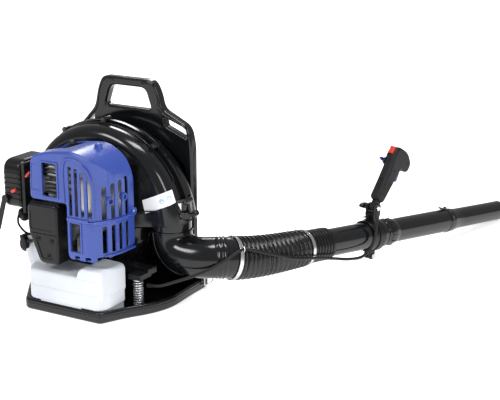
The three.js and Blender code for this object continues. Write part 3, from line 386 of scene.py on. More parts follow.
def ring(centre, direction, outer, inner, half, sides, b):
    """A band about an axis, from -half to half along it, with edges cut back by b."""
    profile = [(inner, -half + b), (inner + b, -half), (outer - b, -half), (outer, -half + b), (outer, half - b),
               (outer - b, half), (inner + b, half), (inner, half - b), (inner, -half + b)]
    return lathe(profile, centre, direction, sides)


def carried_frames(points):
    """Side and up vectors carried along a line of points without twist."""
    points = [Vector(p) for p in points]
    tangents = [(points[min(i + 1, len(points) - 1)] - points[max(i - 1, 0)]).normalized()
                for i in range(len(points))]
    side, up, _ = ring_basis(tangents[0])
    frames = []
    for i, tangent in enumerate(tangents):
        if i:
            turn = tangents[i - 1].rotation_difference(tangent)
            side, up = turn @ side, turn @ up
        frames.append((side.copy(), up.copy()))
    return points, frames


def sweep(points, radius, sides, inner=None):
    """A round tube along points; radius and inner are numbers or functions of the share 0 to 1."""
    line, frames = carried_frames(points)
    count = len(line)

    def rows(size):
        result = []
        for i, (centre, (side, up)) in enumerate(zip(line, frames)):
            r = size(i / (count - 1)) if callable(size) else size
            result += [tuple(centre + way * r) for way in circle(side, up, sides)]
        return result

    outside = rows(radius)
    faces = tube_faces(count, sides)
    if inner is None:
        return outside, faces + caps(count, sides)
    start = count * sides
    faces += [face[::-1] for face in tube_faces(count, sides, first=start)]
    for j in range(sides):
        k = (j + 1) % sides
        faces.append((k, j, start + j, start + k))
        last = (count - 1) * sides
        faces.append((last + j, last + k, start + last + k, start + last + j))
    return outside + rows(inner), faces


def bezier(a, b, c, d, steps):
    a, b, c, d = Vector(a), Vector(b), Vector(c), Vector(d)
    return [a * (1 - t) ** 3 + b * 3 * t * (1 - t) ** 2 + c * 3 * t * t * (1 - t) + d * t ** 3
            for t in (i / steps for i in range(steps + 1))]


def even(points, count):
    """The same line with evenly spaced points."""
    points = [Vector(p) for p in points]
    lengths = [0.0]
    for p, q in zip(points, points[1:]):
        lengths.append(lengths[-1] + (q - p).length)
    result, k = [], 0
    for i in range(count + 1):
        goal = lengths[-1] * i / count
        while k < len(points) - 2 and lengths[k + 1] < goal:
            k += 1
        share = (goal - lengths[k]) / max(1e-9, lengths[k + 1] - lengths[k])
        result.append(points[k].lerp(points[k + 1], share))
    return result


def smooth_line(points, per_span=8):
    """A centripetal Catmull-Rom line through the points."""
    points = [Vector(p) for p in points]
    ends = [points[0] * 2 - points[1]] + points + [points[-1] * 2 - points[-2]]
    result = []
    for a, b, c, d in zip(ends, ends[1:], ends[2:], ends[3:]):
        t0 = 0.0
        t1 = t0 + max(1e-6, (b - a).length) ** 0.5
        t2 = t1 + max(1e-6, (c - b).length) ** 0.5
        t3 = t2 + max(1e-6, (d - c).length) ** 0.5
        for k in range(per_span):
            t = t1 + (t2 - t1) * k / per_span
            a1 = a * ((t1 - t) / (t1 - t0)) + b * ((t - t0) / (t1 - t0))
            a2 = b * ((t2 - t) / (t2 - t1)) + c * ((t - t1) / (t2 - t1))
            a3 = c * ((t3 - t) / (t3 - t2)) + d * ((t - t2) / (t3 - t2))
            b1 = a1 * ((t2 - t) / (t2 - t0)) + a2 * ((t - t0) / (t2 - t0))
            b2 = a2 * ((t3 - t) / (t3 - t1)) + a3 * ((t - t1) / (t3 - t1))
            result.append(b1 * ((t2 - t) / (t2 - t1)) + b2 * ((t - t1) / (t2 - t1)))
    return result + [points[-1]]


def wire(points, radius=2.6, sides=12):
    return sweep(smooth_line(points), radius, sides)


# ---------- meshes ----------
def mesh_of(shape, name="work", scale=1.0):
    mesh = bpy.data.meshes.new(name)
    mesh.from_pydata([(x * scale, y * scale, z * scale) for x, y, z in shape[0]], [], shape[1])
    work = bmesh.new()
    work.from_mesh(mesh)
    bmesh.ops.remove_doubles(work, verts=work.verts, dist=0.0005 * scale)
    bmesh.ops.recalc_face_normals(work, faces=work.faces)
    work.to_mesh(mesh)
    work.free()
    return mesh


def shape_of(mesh):
    return [tuple(v.co) for v in mesh.vertices], [tuple(p.vertices) for p in mesh.polygons]


def evaluated(obj):
    bpy.context.view_layer.update()
    return bpy.data.meshes.new_from_object(obj.evaluated_get(bpy.context.evaluated_depsgraph_get()))


def boolean(operation, first, *others):
    """Exact union, difference or intersection of closed shapes."""
    body = link("boolean_body", mesh_of(first))
    tools = [link("boolean_tool", mesh_of(other)) for other in others]
    for tool in tools:
        step = body.modifiers.new("step", "BOOLEAN")
        step.operation, step.object, step.solver = operation, tool, "EXACT"
    result = shape_of(evaluated(body))
    for obj in [body, *tools]:
        bpy.data.objects.remove(obj)
    return result


def union(*shapes):
    return boolean("UNION", *shapes)


def cut(first, *others):
    return boolean("DIFFERENCE", first, *others)


def overlap(*shapes):
    return boolean("INTERSECT", *shapes)


def shaded(obj, angle, edge):
    """Rounds sharp edges by `edge` mm and keeps flat faces flat in the shading."""
    obj.data.shade_smooth()
    if edge:
        bevel = obj.modifiers.new("edges", "BEVEL")
        bevel.width, bevel.segments = edge * MM, 2
        bevel.limit_method, bevel.angle_limit = "ANGLE", math.radians(angle)
        bevel.use_clamp_overlap = True
    else:
        obj.data.set_sharp_from_angle(angle=math.radians(angle))
    weighted = obj.modifiers.new("flat_faces", "WEIGHTED_NORMAL")
    weighted.keep_sharp = True
    weighted.weight = 60


def piece(name, shape, look, replaces=(), body="machine", angle=38, edge=0.0):
    obj = link(name, mesh_of(shape, name, MM))
    obj.data.materials.append(LOOK[look])
    shaded(obj, angle, edge)
    if replaces:
        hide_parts(*replaces)
    if body:
        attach(obj, body)
    return obj


def keep_node(name, look, edge):
    """A CAD node that stays: its own mesh with rounded edges and a finished material."""
    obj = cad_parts[name]
    obj.data.materials.clear()
    obj.data.materials.append(LOOK[look])
    shaded(obj, 40, edge)


def between(obj, first, second, start, end):
    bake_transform(obj)


# ---------- places ----------
HOSE_NEAR, HOSE_FAR = Vector((293, 90, 110)), Vector((386, 264, 100))
NEAR_DIRECTION = Vector((0.52, 0.83, -0.2)).normalized()
YAW = math.radians(15.5)
BOOM_LENGTH = 806
DROOP = math.asin((HOSE_FAR.z - 27) / BOOM_LENGTH)
BOOM = Matrix.Translation(HOSE_FAR) @ Matrix.Rotation(-YAW, 4, "Z") @ Matrix.Rotation(-DROOP, 4, "X")
BOOM_DIRECTION = (BOOM.to_3x3() @ Vector((0, 1, 0))).normalized()
BRACKET_AT, PIVOT_LIFT = 252, 70
HANDLE = BOOM @ Matrix.Translation((0, BRACKET_AT, PIVOT_LIFT)) @ Matrix.Rotation(math.radians(-34), 4, "X")
AXIS_X, AXIS_Z = -35, 193
DUCT_X, DUCT_Y = 157, 50
SPRING_X, SPRING_Y = 135, -58
HOSE_STEPS = 400
HOSE_LINE = even(bezier(HOSE_NEAR - NEAR_DIRECTION * 5.4, HOSE_NEAR + NEAR_DIRECTION * 60,
                        HOSE_FAR - BOOM_DIRECTION * 60, HOSE_FAR + BOOM_DIRECTION * 5, HOSE_STEPS), HOSE_STEPS)
ELBOW_TOP = Vector((DUCT_X, DUCT_Y, 171.7))
ELBOW_END = HOSE_NEAR - NEAR_DIRECTION * 6
ELBOW_LINE = even(bezier(ELBOW_TOP, ELBOW_TOP + Vector((0, 0, -88)), ELBOW_END - NEAR_DIRECTION * 70, ELBOW_END,
                         300), 300)
SIDES = (("left", -1), ("right", 1))


def hose_at(share):
    """The point at a share, 0 to 1, of the hose's length."""
    return HOSE_LINE[round(share * HOSE_STEPS)]


# ---------- base and back frame ----------
def screw(at, direction, radius, height):
    """A washer head screw with a hexagonal socket."""
    return lathe([(0, 0), (radius * 1.45, 0), (radius * 1.45, 0.9), (radius, 1.1), (radius, height - 0.6),
                  (radius - 0.6, height), (radius * 0.5, height), (radius * 0.42, height - 1.6), (0, height - 1.6)],
                 at, direction, 24)


LEFT_TRIM = 14


def base_outline(inwards):
    """Both halves; the left one is trimmed at the rear, where the machine is narrower."""
    def half(trim):
        d = inwards
        return [(112 - trim - 0.6 * d, -175 + d, 12), (142 - d, -112 + 0.4 * d, 20), (176 - d, -62 + 0.3 * d, 40),
                (194 - d, -6, 50), (187 - d, 108, 60), (187 - d, 165 - d, 30)]
    return half(0) + [(-a, b, r) for a, b, r in reversed(half(LEFT_TRIM))]


def build_base():
    tray = slab(base_outline(0), "z", 0, 26, 6, segments=5, arc=10)
    tray = cut(tray, slab(base_outline(8), "z", 8, 40, arc=10))
    lip = slab(base_outline(0.5), "z", 9.5, 11.5, 0.8, [rounded(base_outline(6), 10)[::-1]], arc=10)
    groove = slab(base_outline(-3), "z", 16.6, 18, 0, [rounded(base_outline(1.2), 10)[::-1]], arc=10)
    parts = [cut(tray, groove), lip]
    for side in (-1, 1):
        parts.append(lathe([(11.6, 7), (15, 7), (15, 14.4), (14.4, 15), (12, 15), (11.6, 14.4), (11.6, 7)],
                           (side * SPRING_X, SPRING_Y, 0), (0, 0, 1), 40))
        lug = slab([(side * 149, 132.4, 3), (side * 187, 132.4, 5), (side * 187, 158, 5), (side * 149, 158, 3)],
                   "z", 4, 58, 2)
        knuckle = slab(rect(144, 156, 34, 46, 2), "x", *sorted((side * 184, side * 198)), 1.5)
        bore = pin((side * 193, 140, 40), (side * 193, 160, 40), 2.6)
        parts.append(cut(union(lug, knuckle), bore))
        for y in (20, 80):
            parts.append(prism([(side * 130, 7.5), (side * 180, 7.5), (side * 180, 19), (side * 130, 10)], "y",
                               y - 2.5, y + 2.5, 0.6))
    piece("base_moulding", merged(*parts), "gloss", ["base_tray"], edge=0.5)
    piece("base_screws", merged(*[screw((x, 150, 58), (0, 0, 1), 4, 3) for x in (-176, 176)]), "dark_steel")


def frame_outline():
    right = [(168, 8.4, 2), (168, 32, 4), (177, 40, 6), (177, 356, 18), (167, 398, 18), (95, 433, 14),
             (86, 470, 20), (70, 498, 24)]
    left = [(-168, 8.4, 2), (-168, 32, 4), (-177, 40, 6), (-177, 318, 18), (-156, 358, 18), (-97, 421, 14),
            (-86, 470, 20), (-72, 498, 22)]
    return rounded(right + left[::-1], 8)


def frame_holes():
    holes = [both_sides([(66, 428, 10), (49, 478, 16)]),
             [(104, 394, 4), (100, 414, 4), (158, 393, 5), (163, 370, 4)],
             [(-101, 384, 4), (-99, 404, 4), (-146, 354, 5), (-142, 340, 4)]]
    return [rounded(hole, 6) for hole in holes]


def build_frame():
    body = prism(frame_outline(), "y", 108, 132, 5, frame_holes(), 5)
    pocket = slab(both_sides([(160, 60, 12), (160, 306, 20), (70, 374, 20)]), "y", 90, 125.5, arc=6)
    body = cut(body, pocket)
    ribs = [box((x - 1.6, x + 1.6), (114, 127), (64, 352)) for x in (-110, -55, 0, 55, 110)]
    ribs += [box((-158, 158), (114, 127), (z - 1.6, z + 1.6)) for z in (130, 205, 280)]
    body = union(body, overlap(union(*ribs), pocket))
    front_dish = slab(both_sides([(136, 70, 14), (140, 300, 30), (80, 362, 22)]), "y", 129.8, 140, arc=6)
    rim = slab(both_sides([(130, 76, 14), (134, 298, 28), (77, 356, 20)]), "y", 129, 131.4, 1, arc=6)
    foot = slab([(140, 10, 4), (140, 40, 10), (158, 64, 14), (176.5, 64, 8), (176.5, 34, 4), (167, 27, 4),
                 (167, 10, 4)], "y", 100, 110, 3)
    body = union(cut(body, front_dish), rim, foot)
    piece("frame_moulding", body, "gloss", ["back_frame"], edge=0.7)
    # the raised bead that runs up the sides and over the shoulders to the carrying handle
    bead_points = (((168, 109, 76), (170.5, 108.6, 120), (170.5, 108.6, 350), (163, 108.6, 391), (130, 108.6, 409),
                    (90, 108.6, 427), (80, 108.6, 466), (66, 108.6, 489), (40, 108.6, 490)),
                   ((-168, 109, 76), (-170.5, 108.6, 120), (-170.5, 108.6, 314), (-151, 108.6, 354),
                    (-122, 108.6, 385), (-92, 108.6, 416), (-80, 108.6, 466), (-66, 108.6, 489), (-40, 108.6, 490)))
    piece("frame_beads", merged(*[wire(points, 2.2, 10) for points in bead_points]), "gloss")
    heads = [screw((s * x, 132, z), (0, 1, 0), 4, 3) for s in (-1, 1) for x, z in ((150, 52), (150, 316))]
    piece("frame_screws", merged(*heads), "dark_steel")


# ---------- fan housing ----------
SPIRAL_START, SPIRAL_SWEEP = -8, 352
SCROLL_REAR, SCROLL_FRONT, SCROLL_EDGE = -8, 104, 28


def spiral_radius(share):
    return 142 + 96 * share ** 1.3


def spiral_point(share, offset):
    angle = math.radians(SPIRAL_START - SPIRAL_SWEEP * share)
    r = spiral_radius(share) + offset
    return AXIS_X + r * math.cos(angle), AXIS_Z + r * math.sin(angle)


def share_of(degrees):
    return ((SPIRAL_START - degrees) % 360) / SPIRAL_SWEEP


def scroll(wall, steps=150, arc=8):
    """The closed snail shape of the fan housing, `wall` mm inside its outer surface."""
    low, high, edge = SCROLL_REAR + wall, SCROLL_FRONT - wall, SCROLL_EDGE - wall
    points, faces = [], []
    rows = steps + 1
    for i in range(rows):
        share = i / steps
        angle = math.radians(SPIRAL_START - SPIRAL_SWEEP * share)
        radius = spiral_radius(share) - wall
        section = [(0, low), (radius * 0.5, low)]
        for k in range(arc + 1):
            a = math.pi / 2 * k / arc
            section.append((radius - edge + edge * math.sin(a), low + edge - edge * math.cos(a)))
        section += [(r, low + high - y) for r, y in reversed(section)]
        for r, y in section:
            points.append((AXIS_X + r * math.cos(angle), y, AXIS_Z + r * math.sin(angle)))
    width = len(section)
    for i in range(rows):
        here, there = i * width, ((i + 1) % rows) * width
        for j in range(width - 1):
            faces.append((here + j, there + j, there + j + 1, here + j + 1))
    return points, faces


def duct(wall):
    return pin((DUCT_X, DUCT_Y, 250), (DUCT_X, DUCT_Y, 172 - wall), 46 - wall, 64)


RIM_BOLTS = (148, 119, 86, 48, 12, -62, -105, -150)


def bolt_place(degrees):
    return spiral_point(share_of(degrees), 6.5)


def scroll_strip(offset_low, offset_high, y_low, y_high, start, end, steps=130):
    """A band that follows the housing's rim."""
    points, faces = [], []
    for i in range(steps + 1):
        share = start + (end - start) * i / steps
        for offset, y in ((offset_low, y_low), (offset_high, y_low), (offset_high, y_high), (offset_low, y_high)):
            x, z = spiral_point(share, offset)
            points.append((x, y, z))
    for i in range(steps):
        for j in range(4):
            k = (j + 1) % 4
            faces.append((i * 4 + j, i * 4 + k, i * 4 + 4 + k, i * 4 + 4 + j))
    last = steps * 4
    faces += [(3, 2, 1, 0), (last, last + 1, last + 2, last + 3)]
    return points, faces


def about_axis(y, degrees):
    """Puts a part drawn round the origin on the fan's axis, turned about it."""
    return Matrix.Translation((AXIS_X, y, AXIS_Z)) @ Matrix.Rotation(math.radians(degrees), 4, "Y")


def build_fan_housing():
    outer = union(scroll(0), duct(0))
    inner = union(scroll(3), duct(3))
    room = box((106, 260), (-20, 120), (60, 172))
    halves = (("rear", -20, 49.85, 45.6, 49.85, -1), ("front", 50.15, 120, 50.15, 54.4, 1))
    for word, low, high, flange_low, flange_high, way in halves:
        half = overlap(outer, box((-400, 400), (low, high), (0, 500)))
        ears = []
        for degrees in RIM_BOLTS:
            x, z = bolt_place(degrees)
            ears.append(pin((x, flange_low - (9 if way < 0 else 0), z), (x, flange_high + (0 if way < 0 else 9), z),
                            7.6, 28, 0.8))
        flange = scroll_strip(-2.5, 8, flange_low, flange_high, 0.012, 0.988)
        shell = cut(union(half, flange, *ears), inner, room)
        if way < 0:
            shell = cut(shell, pin((AXIS_X, -20, AXIS_Z), (AXIS_X, 2, AXIS_Z), 14))
        else:
            for outside, inside in ((78, 57), (53, 32)):
                opening = ring((AXIS_X, SCROLL_FRONT, AXIS_Z), (0, 1, 0), outside, inside, 14, 64, 0.01)
                spokes = [moved(box((-95, 95), (-20, 20), (-2.4, 2.4)), about_axis(SCROLL_FRONT, a))
                          for a in (0, 60, 120)]
                shell = cut(shell, cut(opening, *spokes))
        piece(f"scroll_{word}_shell", shell, "gloss", [f"volute_{word}_shell"], angle=34, edge=0.6)
    # ribs beside the seam, as moulded on both halves
    ridges = [scroll_strip(-1.5, 3.4, y, y + 2.2, 0.02, 0.93) for y in (33.5, 64.5)]
    piece("scroll_beads", merged(*ridges), "gloss", angle=30, edge=0.9)
    bolts = []
    for degrees in RIM_BOLTS:
        x, z = bolt_place(degrees)
        bolts.append(screw((x, 36.7, z), (0, -1, 0), 4.2, 3.4))
        bolts.append(lathe([(0, 0), (5.4, 0), (5.4, 3), (2.6, 3.2), (2.6, 6), (0, 6)], (x, 63.3, z), (0, 1, 0), 6))
    piece("scroll_bolts", merged(*bolts), "dark_steel")
    # radial stiffening ribs on the rear face, between the bearing flange and the rim
    ribs = []
    for degrees in range(10, 360, 25):
        reach = spiral_radius(share_of(degrees)) - 34
        rib = prism([(52, -8.2), (reach, -8.2), (reach - 10, -11), (60, -12.5)], "z", -1.3, 1.3)
        ribs.append(moved(rib, about_axis(0, -degrees)))
    piece("scroll_ribs", merged(*ribs), "gloss", edge=0.5)


# ---------- labels and the lug beside the outlet ----------
def on_scroll(point, lift):
    """A point put on the rear wall of the fan housing, `lift` mm outside it."""
    x, z = point
    dx, dz = x - AXIS_X, z - AXIS_Z
    reach = math.hypot(dx, dz)
    edge = spiral_radius(share_of(math.degrees(math.atan2(dz, dx)) % 360)) - SCROLL_EDGE
    if reach <= edge:
        return Vector((x, SCROLL_REAR - lift, z))
    angle = min(math.pi / 2, (reach - edge) / SCROLL_EDGE)
    bend = SCROLL_EDGE + lift
    out = edge + bend * math.sin(angle)
    return Vector((AXIS_X + dx / reach * out, SCROLL_REAR + SCROLL_EDGE - bend * math.cos(angle),
                   AXIS_Z + dz / reach * out))


def patch_on_scroll(corners, lift, rows=14):
    """A thin sticker with four corners (x, z) that lies on the rear wall."""
    a, b, c, d = (Vector(p) for p in corners)
    points, faces = [], []
    for layer in (lift, 0.0):
        for i in range(rows + 1):
            for j in range(rows + 1):
                u, v = i / rows, j / rows
                points.append(tuple(on_scroll(a.lerp(b, u).lerp(d.lerp(c, u), v), layer)))
    width = rows + 1
    size = width * width
    for i in range(rows):
        for j in range(rows):
            k = i * width + j
            faces.append((k, k + 1, k + width + 1, k + width))
            faces.append((size + k, size + k + width, size + k + width + 1, size + k + 1))
    rim = list(range(width)) + [i * width + rows for i in range(1, width)]
    rim += [rows * width + j for j in range(rows - 1, -1, -1)] + [i * width for i in range(rows - 1, 0, -1)]
    for p, q in zip(rim, rim[1:] + rim[:1]):
        faces.append((p, q, size + q, size + p))
    return points, faces


LABEL_CORNERS = ((116, 246), (193, 279), (203, 249), (124, 216))


def build_labels():
    piece("label_plate", patch_on_scroll(LABEL_CORNERS, 0.5), "label", angle=30)
    a, b, c, d = (Vector(p) for p in LABEL_CORNERS)
    discs = []
    for u, v in ((0.62, 0.52), (0.84, 0.47)):
        centre = a.lerp(b, u).lerp(d.lerp(c, u), v)
        points = [on_scroll(centre + Vector((6 * math.cos(k), 6 * math.sin(k))), 0.75)
                  for k in (2 * math.pi * i / 24 for i in range(24))]
        low = [p + Vector((0, 0.5, 0)) for p in points]
        discs.append(([tuple(p) for p in points + low], [tuple(range(24)), tuple(range(47, 23, -1))]
                      + [(i, 24 + i, 24 + (i + 1) % 24, (i + 1) % 24) for i in range(24)]))
    piece("label_discs", merged(*discs), "ink", angle=30)
    arc = [math.radians(a) for a in range(-52, -27, 2)]
    outer = [(DUCT_X + 46.7 * math.cos(a), DUCT_Y + 46.7 * math.sin(a)) for a in arc]
    inner = [(DUCT_X + 45.5 * math.cos(a), DUCT_Y + 45.5 * math.sin(a)) for a in arc[::-1]]
    piece("label_small", prism(outer + inner, "z", 226, 242), "steel", angle=30)
    lug = slab([(186, 20, 4), (212, 24, 5), (220, 36, 6), (210, 48, 5), (186, 52, 4)], "z", 205, 221, 3)
    arm = wire([(202, 36, 213), (218, 36, 216), (232, 38, 222)], 4.6, 16)
    knob = lathe([(0, -5), (5.6, -4), (7, 0), (5.6, 4), (0, 5)], (232, 38, 222), (0.9, 0, 0.4), 28)
    piece("duct_lug", union(lug, arm, knob), "gloss", edge=0.6)
    piece("duct_screws", screw((198, 22.2, 213), (0.15, -1, 0), 3.6, 2.6), "dark_steel")


# ---------- outlet elbow, hose and clamps ----------
HOSE_RIBS = 15


def build_hose():
    def elbow_radius(share):
        beads = 1.7 * sum(math.exp(-((share - at) * 150) ** 2) for at in (0.83, 0.87, 0.91))
        return 47 + share + beads + (2.2 if share < 0.022 else 0)
    line = even(ELBOW_LINE, 110)
    tube = sweep(line, elbow_radius, 64, inner=lambda share: 43.2 + share)
    across = Vector((0, 0, -1)).cross(NEAR_DIRECTION).normalized()
    spine = even(ELBOW_LINE, 60)
    ways = [across.cross(spine[i + 1] - spine[i - 1]).normalized() * (47.4 + i / 60) for i in range(1, 50)]
    seam = [sweep([at + out * side for at, out in zip(spine[1:50], ways)], 1.6, 8) for side in (-1, 1)]
    piece("elbow_moulding", merged(tube, *seam), "gloss", ["outlet_elbow"], angle=45)

    def hose_radius(share):
        base = 48 - 8 * share
        if share < 0.065 or share > 0.935:
            return base
        phase = (share - 0.065) / 0.87 * HOSE_RIBS
        wave = 0.5 - 0.5 * math.cos(2 * math.pi * phase)
        return base - 1.0 + 5.2 * wave ** 0.8
    steps = 210
    for word, first, last, a, b in (("near", 0, 0.5, "machine", "hose"), ("far", 0.5, 1.0, "hose", "boom")):
        part = [hose_at(first + (last - first) * i / steps) for i in range(steps + 1)]
        shape = sweep(part, lambda t: hose_radius(first + (last - first) * t), 56,
                      inner=lambda t: 43.4 - 8 * (first + (last - first) * t))
        half = piece(f"hose_{word}", shape, "hose", [f"bellows_{word}"], None, angle=60)
        between(half, a, b, hose_at(first), hose_at(last))
    near, near_way = hose_at(0.03), (hose_at(0.05) - hose_at(0.01)).normalized()
    for word, centre, way, radius, body in (("near", near, near_way, 49.0, "machine"),
                                            ("far", BOOM @ Vector((0, -4, 0)), BOOM_DIRECTION, 41.8, "boom")):
        band = ring(centre, way, radius + 1.7, radius, 4.6, 72, 0.5)
        edges = [ring(centre + way * k, way, radius + 2.3, radius + 1.2, 0.6, 72, 0.25) for k in (-3.9, 3.9)]
        down = (Vector((0, 0, -1)) + way * way.z).normalized()
        out = way.cross(down)
        at = centre + out * (radius + 4.2)
        lugs = [moved(box((-4.6, 4.6), (-1.1, 1.1), (-4.5, 4.5)), Matrix.Translation(at + down * k)
                      @ Matrix((way, down, out)).transposed().to_4x4()) for k in (-6, 6)]
        bolt = pin(at - down * 11, at + down * 10, 1.9, 20)
        head = lathe([(0, 0), (4.2, 0), (4.2, 3.4), (3.6, 4), (0, 4)], at + down * 7.2, down, 6)
        shape = merged(band, *edges, *lugs, bolt, head)
        if word == "near":
            side, up, _ = ring_basis(near_way)
            loop = [clip_centre() + way_out * 6.2 for way_out in circle(side, up, 32)]
            shape = merged(shape, sweep_loop(loop, 1.1))
        piece(f"band_clamp_{word}", shape, "steel", [f"hose_clamp_{word}"], body, angle=30)


def sweep_loop(points, radius, sides=10):
    """A closed wire ring through the points."""
    count = len(points)
    shape_points = []
    middle = sum((Vector(p) for p in points), Vector()) / count
    for i in range(count):
        here = Vector(points[i])
        tangent = (Vector(points[(i + 1) % count]) - Vector(points[i - 1])).normalized()
        out = here - middle
        out = (out - tangent * out.dot(tangent)).normalized()
        up = tangent.cross(out)
        shape_points += [tuple(here + way * radius) for way in circle(out, up, sides)]
    return shape_points, tube_faces(count, sides, True)


def clip_centre():
    centre, way = hose_at(0.03), (hose_at(0.05) - hose_at(0.01)).normalized()
    out = Vector((0.62, -0.5, 0.6))
    out = (out - way * out.dot(way)).normalized()
    return centre + out * (48 + 8.6)


# ---------- tubes ----------
def along_boom(profile):
    """A turned part on the boom's axis, from a closed (radius, distance along the boom) outline."""
    return moved(lathe(profile + profile[:1], (0, 0, 0), (0, 1, 0), 72), BOOM)


def build_tubes():
    cuff = [(36.6, 6), (39.4, 6), (40, 6.6)]
    for i in range(6):
        y = 12 + i * 10.4
        cuff += [(40, y), (39.2, y + 0.9), (37.8, y + 1.4), (37.8, y + 2.9), (39.2, y + 3.4), (40, y + 4.3)]
    cuff += [(39.6, 76.5), (38.6, 78), (36.6, 78)]
    piece("cuff", along_boom(cuff), "satin", ["swivel_cuff"], "boom", angle=28)
    first = [(31.5, 12), (35.8, 12), (35.8, 20), (34, 22), (34, 268), (34.7, 270), (34.7, 274), (34, 276),
             (34, 285), (33.4, 286), (31.5, 286)]
    piece("tube_first", along_boom(first), "gloss", ["swivel_tube"], "tube", angle=28)
    second = [(28, 287), (33.8, 287), (34.5, 287.8), (34.5, 294), (33.6, 295.4), (32.6, 297), (33, 300), (34, 303),
              (34, 316), (33.2, 322), (31.4, 331), (30.5, 336), (30.5, 549), (31.6, 551), (32, 553), (32, 559.2),
              (31.4, 560), (28, 560)]
    hook = slab([(524, 37.5, 2), (548, 30, 0.5), (556, 29, 0.5), (558.5, 37.5, 2), (554, 38.5, 2), (550, 35, 1),
                 (532, 39.5, 2)], "x", -3.4, 3.4, 0.8, arc=4)
    ribs = [moved(box((-1.2, 1.2), (302, 318), (33.6, 35.4)), BOOM @ Matrix.Rotation(math.radians(a), 4, "Y"))
            for a in range(0, 360, 30)]
    piece("tube_second", merged(along_boom(second), moved(hook, BOOM), *ribs), "gloss", ["middle_tube"], "tube",
          angle=28)
    last = [(24.5, 560.3), (30.9, 560.3), (31.5, 561), (31.5, 570), (31.2, 574), (29.6, 584), (28.2, 596),
            (27.4, 608), (27, 620), (26.6, 780), (26.8, 798), (27, 804), (26.6, 805.6), (25.8, 806), (24.5, 805)]
    piece("tube_nozzle", along_boom(last), "gloss", ["nozzle"], "tube", angle=28)


# ---------- handle bracket ----------
def build_bracket():
    at, lift = BRACKET_AT, PIVOT_LIFT
    band = ring((0, at, 0), (0, 1, 0), 41.5, 35, 10, 72, 1.2)
    sleeve = ring((0, at - 15, 0), (0, 1, 0), 39, 35, 15, 72, 0.8)
    lugs = [slab([(at - 10, -37, 0), (at - 9, -62, 8), (at + 9, -62, 8), (at + 10, -37, 0)], "x",
                 *((-10, -3) if s < 0 else (3, 10)), 1.2) for s in (-1, 1)]
    neck = slab([(at - 12, 37, 0), (at - 14, 56, 4), (at + 12, 56, 4), (at + 10, 37, 0)], "x", -14, 14, 2)
    ears = [slab([(at - 14, 50, 0), (at - 13, 81, 11), (at + 13, 81, 11), (at + 12, 50, 0)], "x",
                 *((-14, -8.5) if s < 0 else (8.5, 14)), 1) for s in (-1, 1)]
    hook = slab([(at - 44, 50, 1), (at - 30, 47.5, 3), (at - 6, 40, 0), (at - 8, 52, 2), (at - 28, 51, 4)], "x",
                -2.2, 2.2, 0.8)
    shape = cut(union(band, sleeve, *lugs, neck, *ears, hook), box((-3, 3), (at - 40, at + 20), (-80, -33)),
                pin((-30, at, lift), (30, at, lift), 3.4), pin((-30, at, -53), (30, at, -53), 3.4))
    piece("bracket_moulding", moved(shape, BOOM), "satin", ["handle_bracket"], "bracket", edge=0.5)
    bolt = merged(pin((-15, at, -53), (14, at, -53), 3, 24),
                  lathe([(0, 0), (6.2, 0), (6.2, 4.4), (5.6, 5), (0, 5)], (10.3, at, -53), (1, 0, 0), 6),
                  lathe([(0, 0), (7, 0), (7, 1), (5.6, 1), (5.2, 4), (3.4, 5), (0, 5)], (-10.3, at, -53),
                        (-1, 0, 0), 32))
    piece("bracket_fastener", moved(bolt, BOOM), "steel", ["bracket_bolt"], "bracket", angle=30)
    lobes = [(math.cos(2 * math.pi * k / 48) * (11 + 5 * abs(math.cos(math.pi * k / 48 * 2)) ** 2),
              math.sin(2 * math.pi * k / 48) * (8 + 1.2 * math.cos(2 * math.pi * k / 24))) for k in range(48)]
    wing = prism([(at + x, lift + z) for x, z in lobes], "x", -36, -23, 3)
    knob = merged(wing, pin((-24, at, lift), (-14.3, at, lift), 8, 32, 1),
                  pin((-22, at, lift), (17, at, lift), 3, 20))
    piece("knob_moulding", moved(knob, BOOM), "grain", ["tilt_knob"], "tilt_knob")
    nut = lathe([(0, 0), (6.4, 0), (6.4, 3.2), (5.6, 3.8), (0, 3.8)], (14.3, at, lift), (1, 0, 0), 6)
    piece("knob_nut", moved(nut, BOOM), "steel", (), "tilt_knob", angle=30)


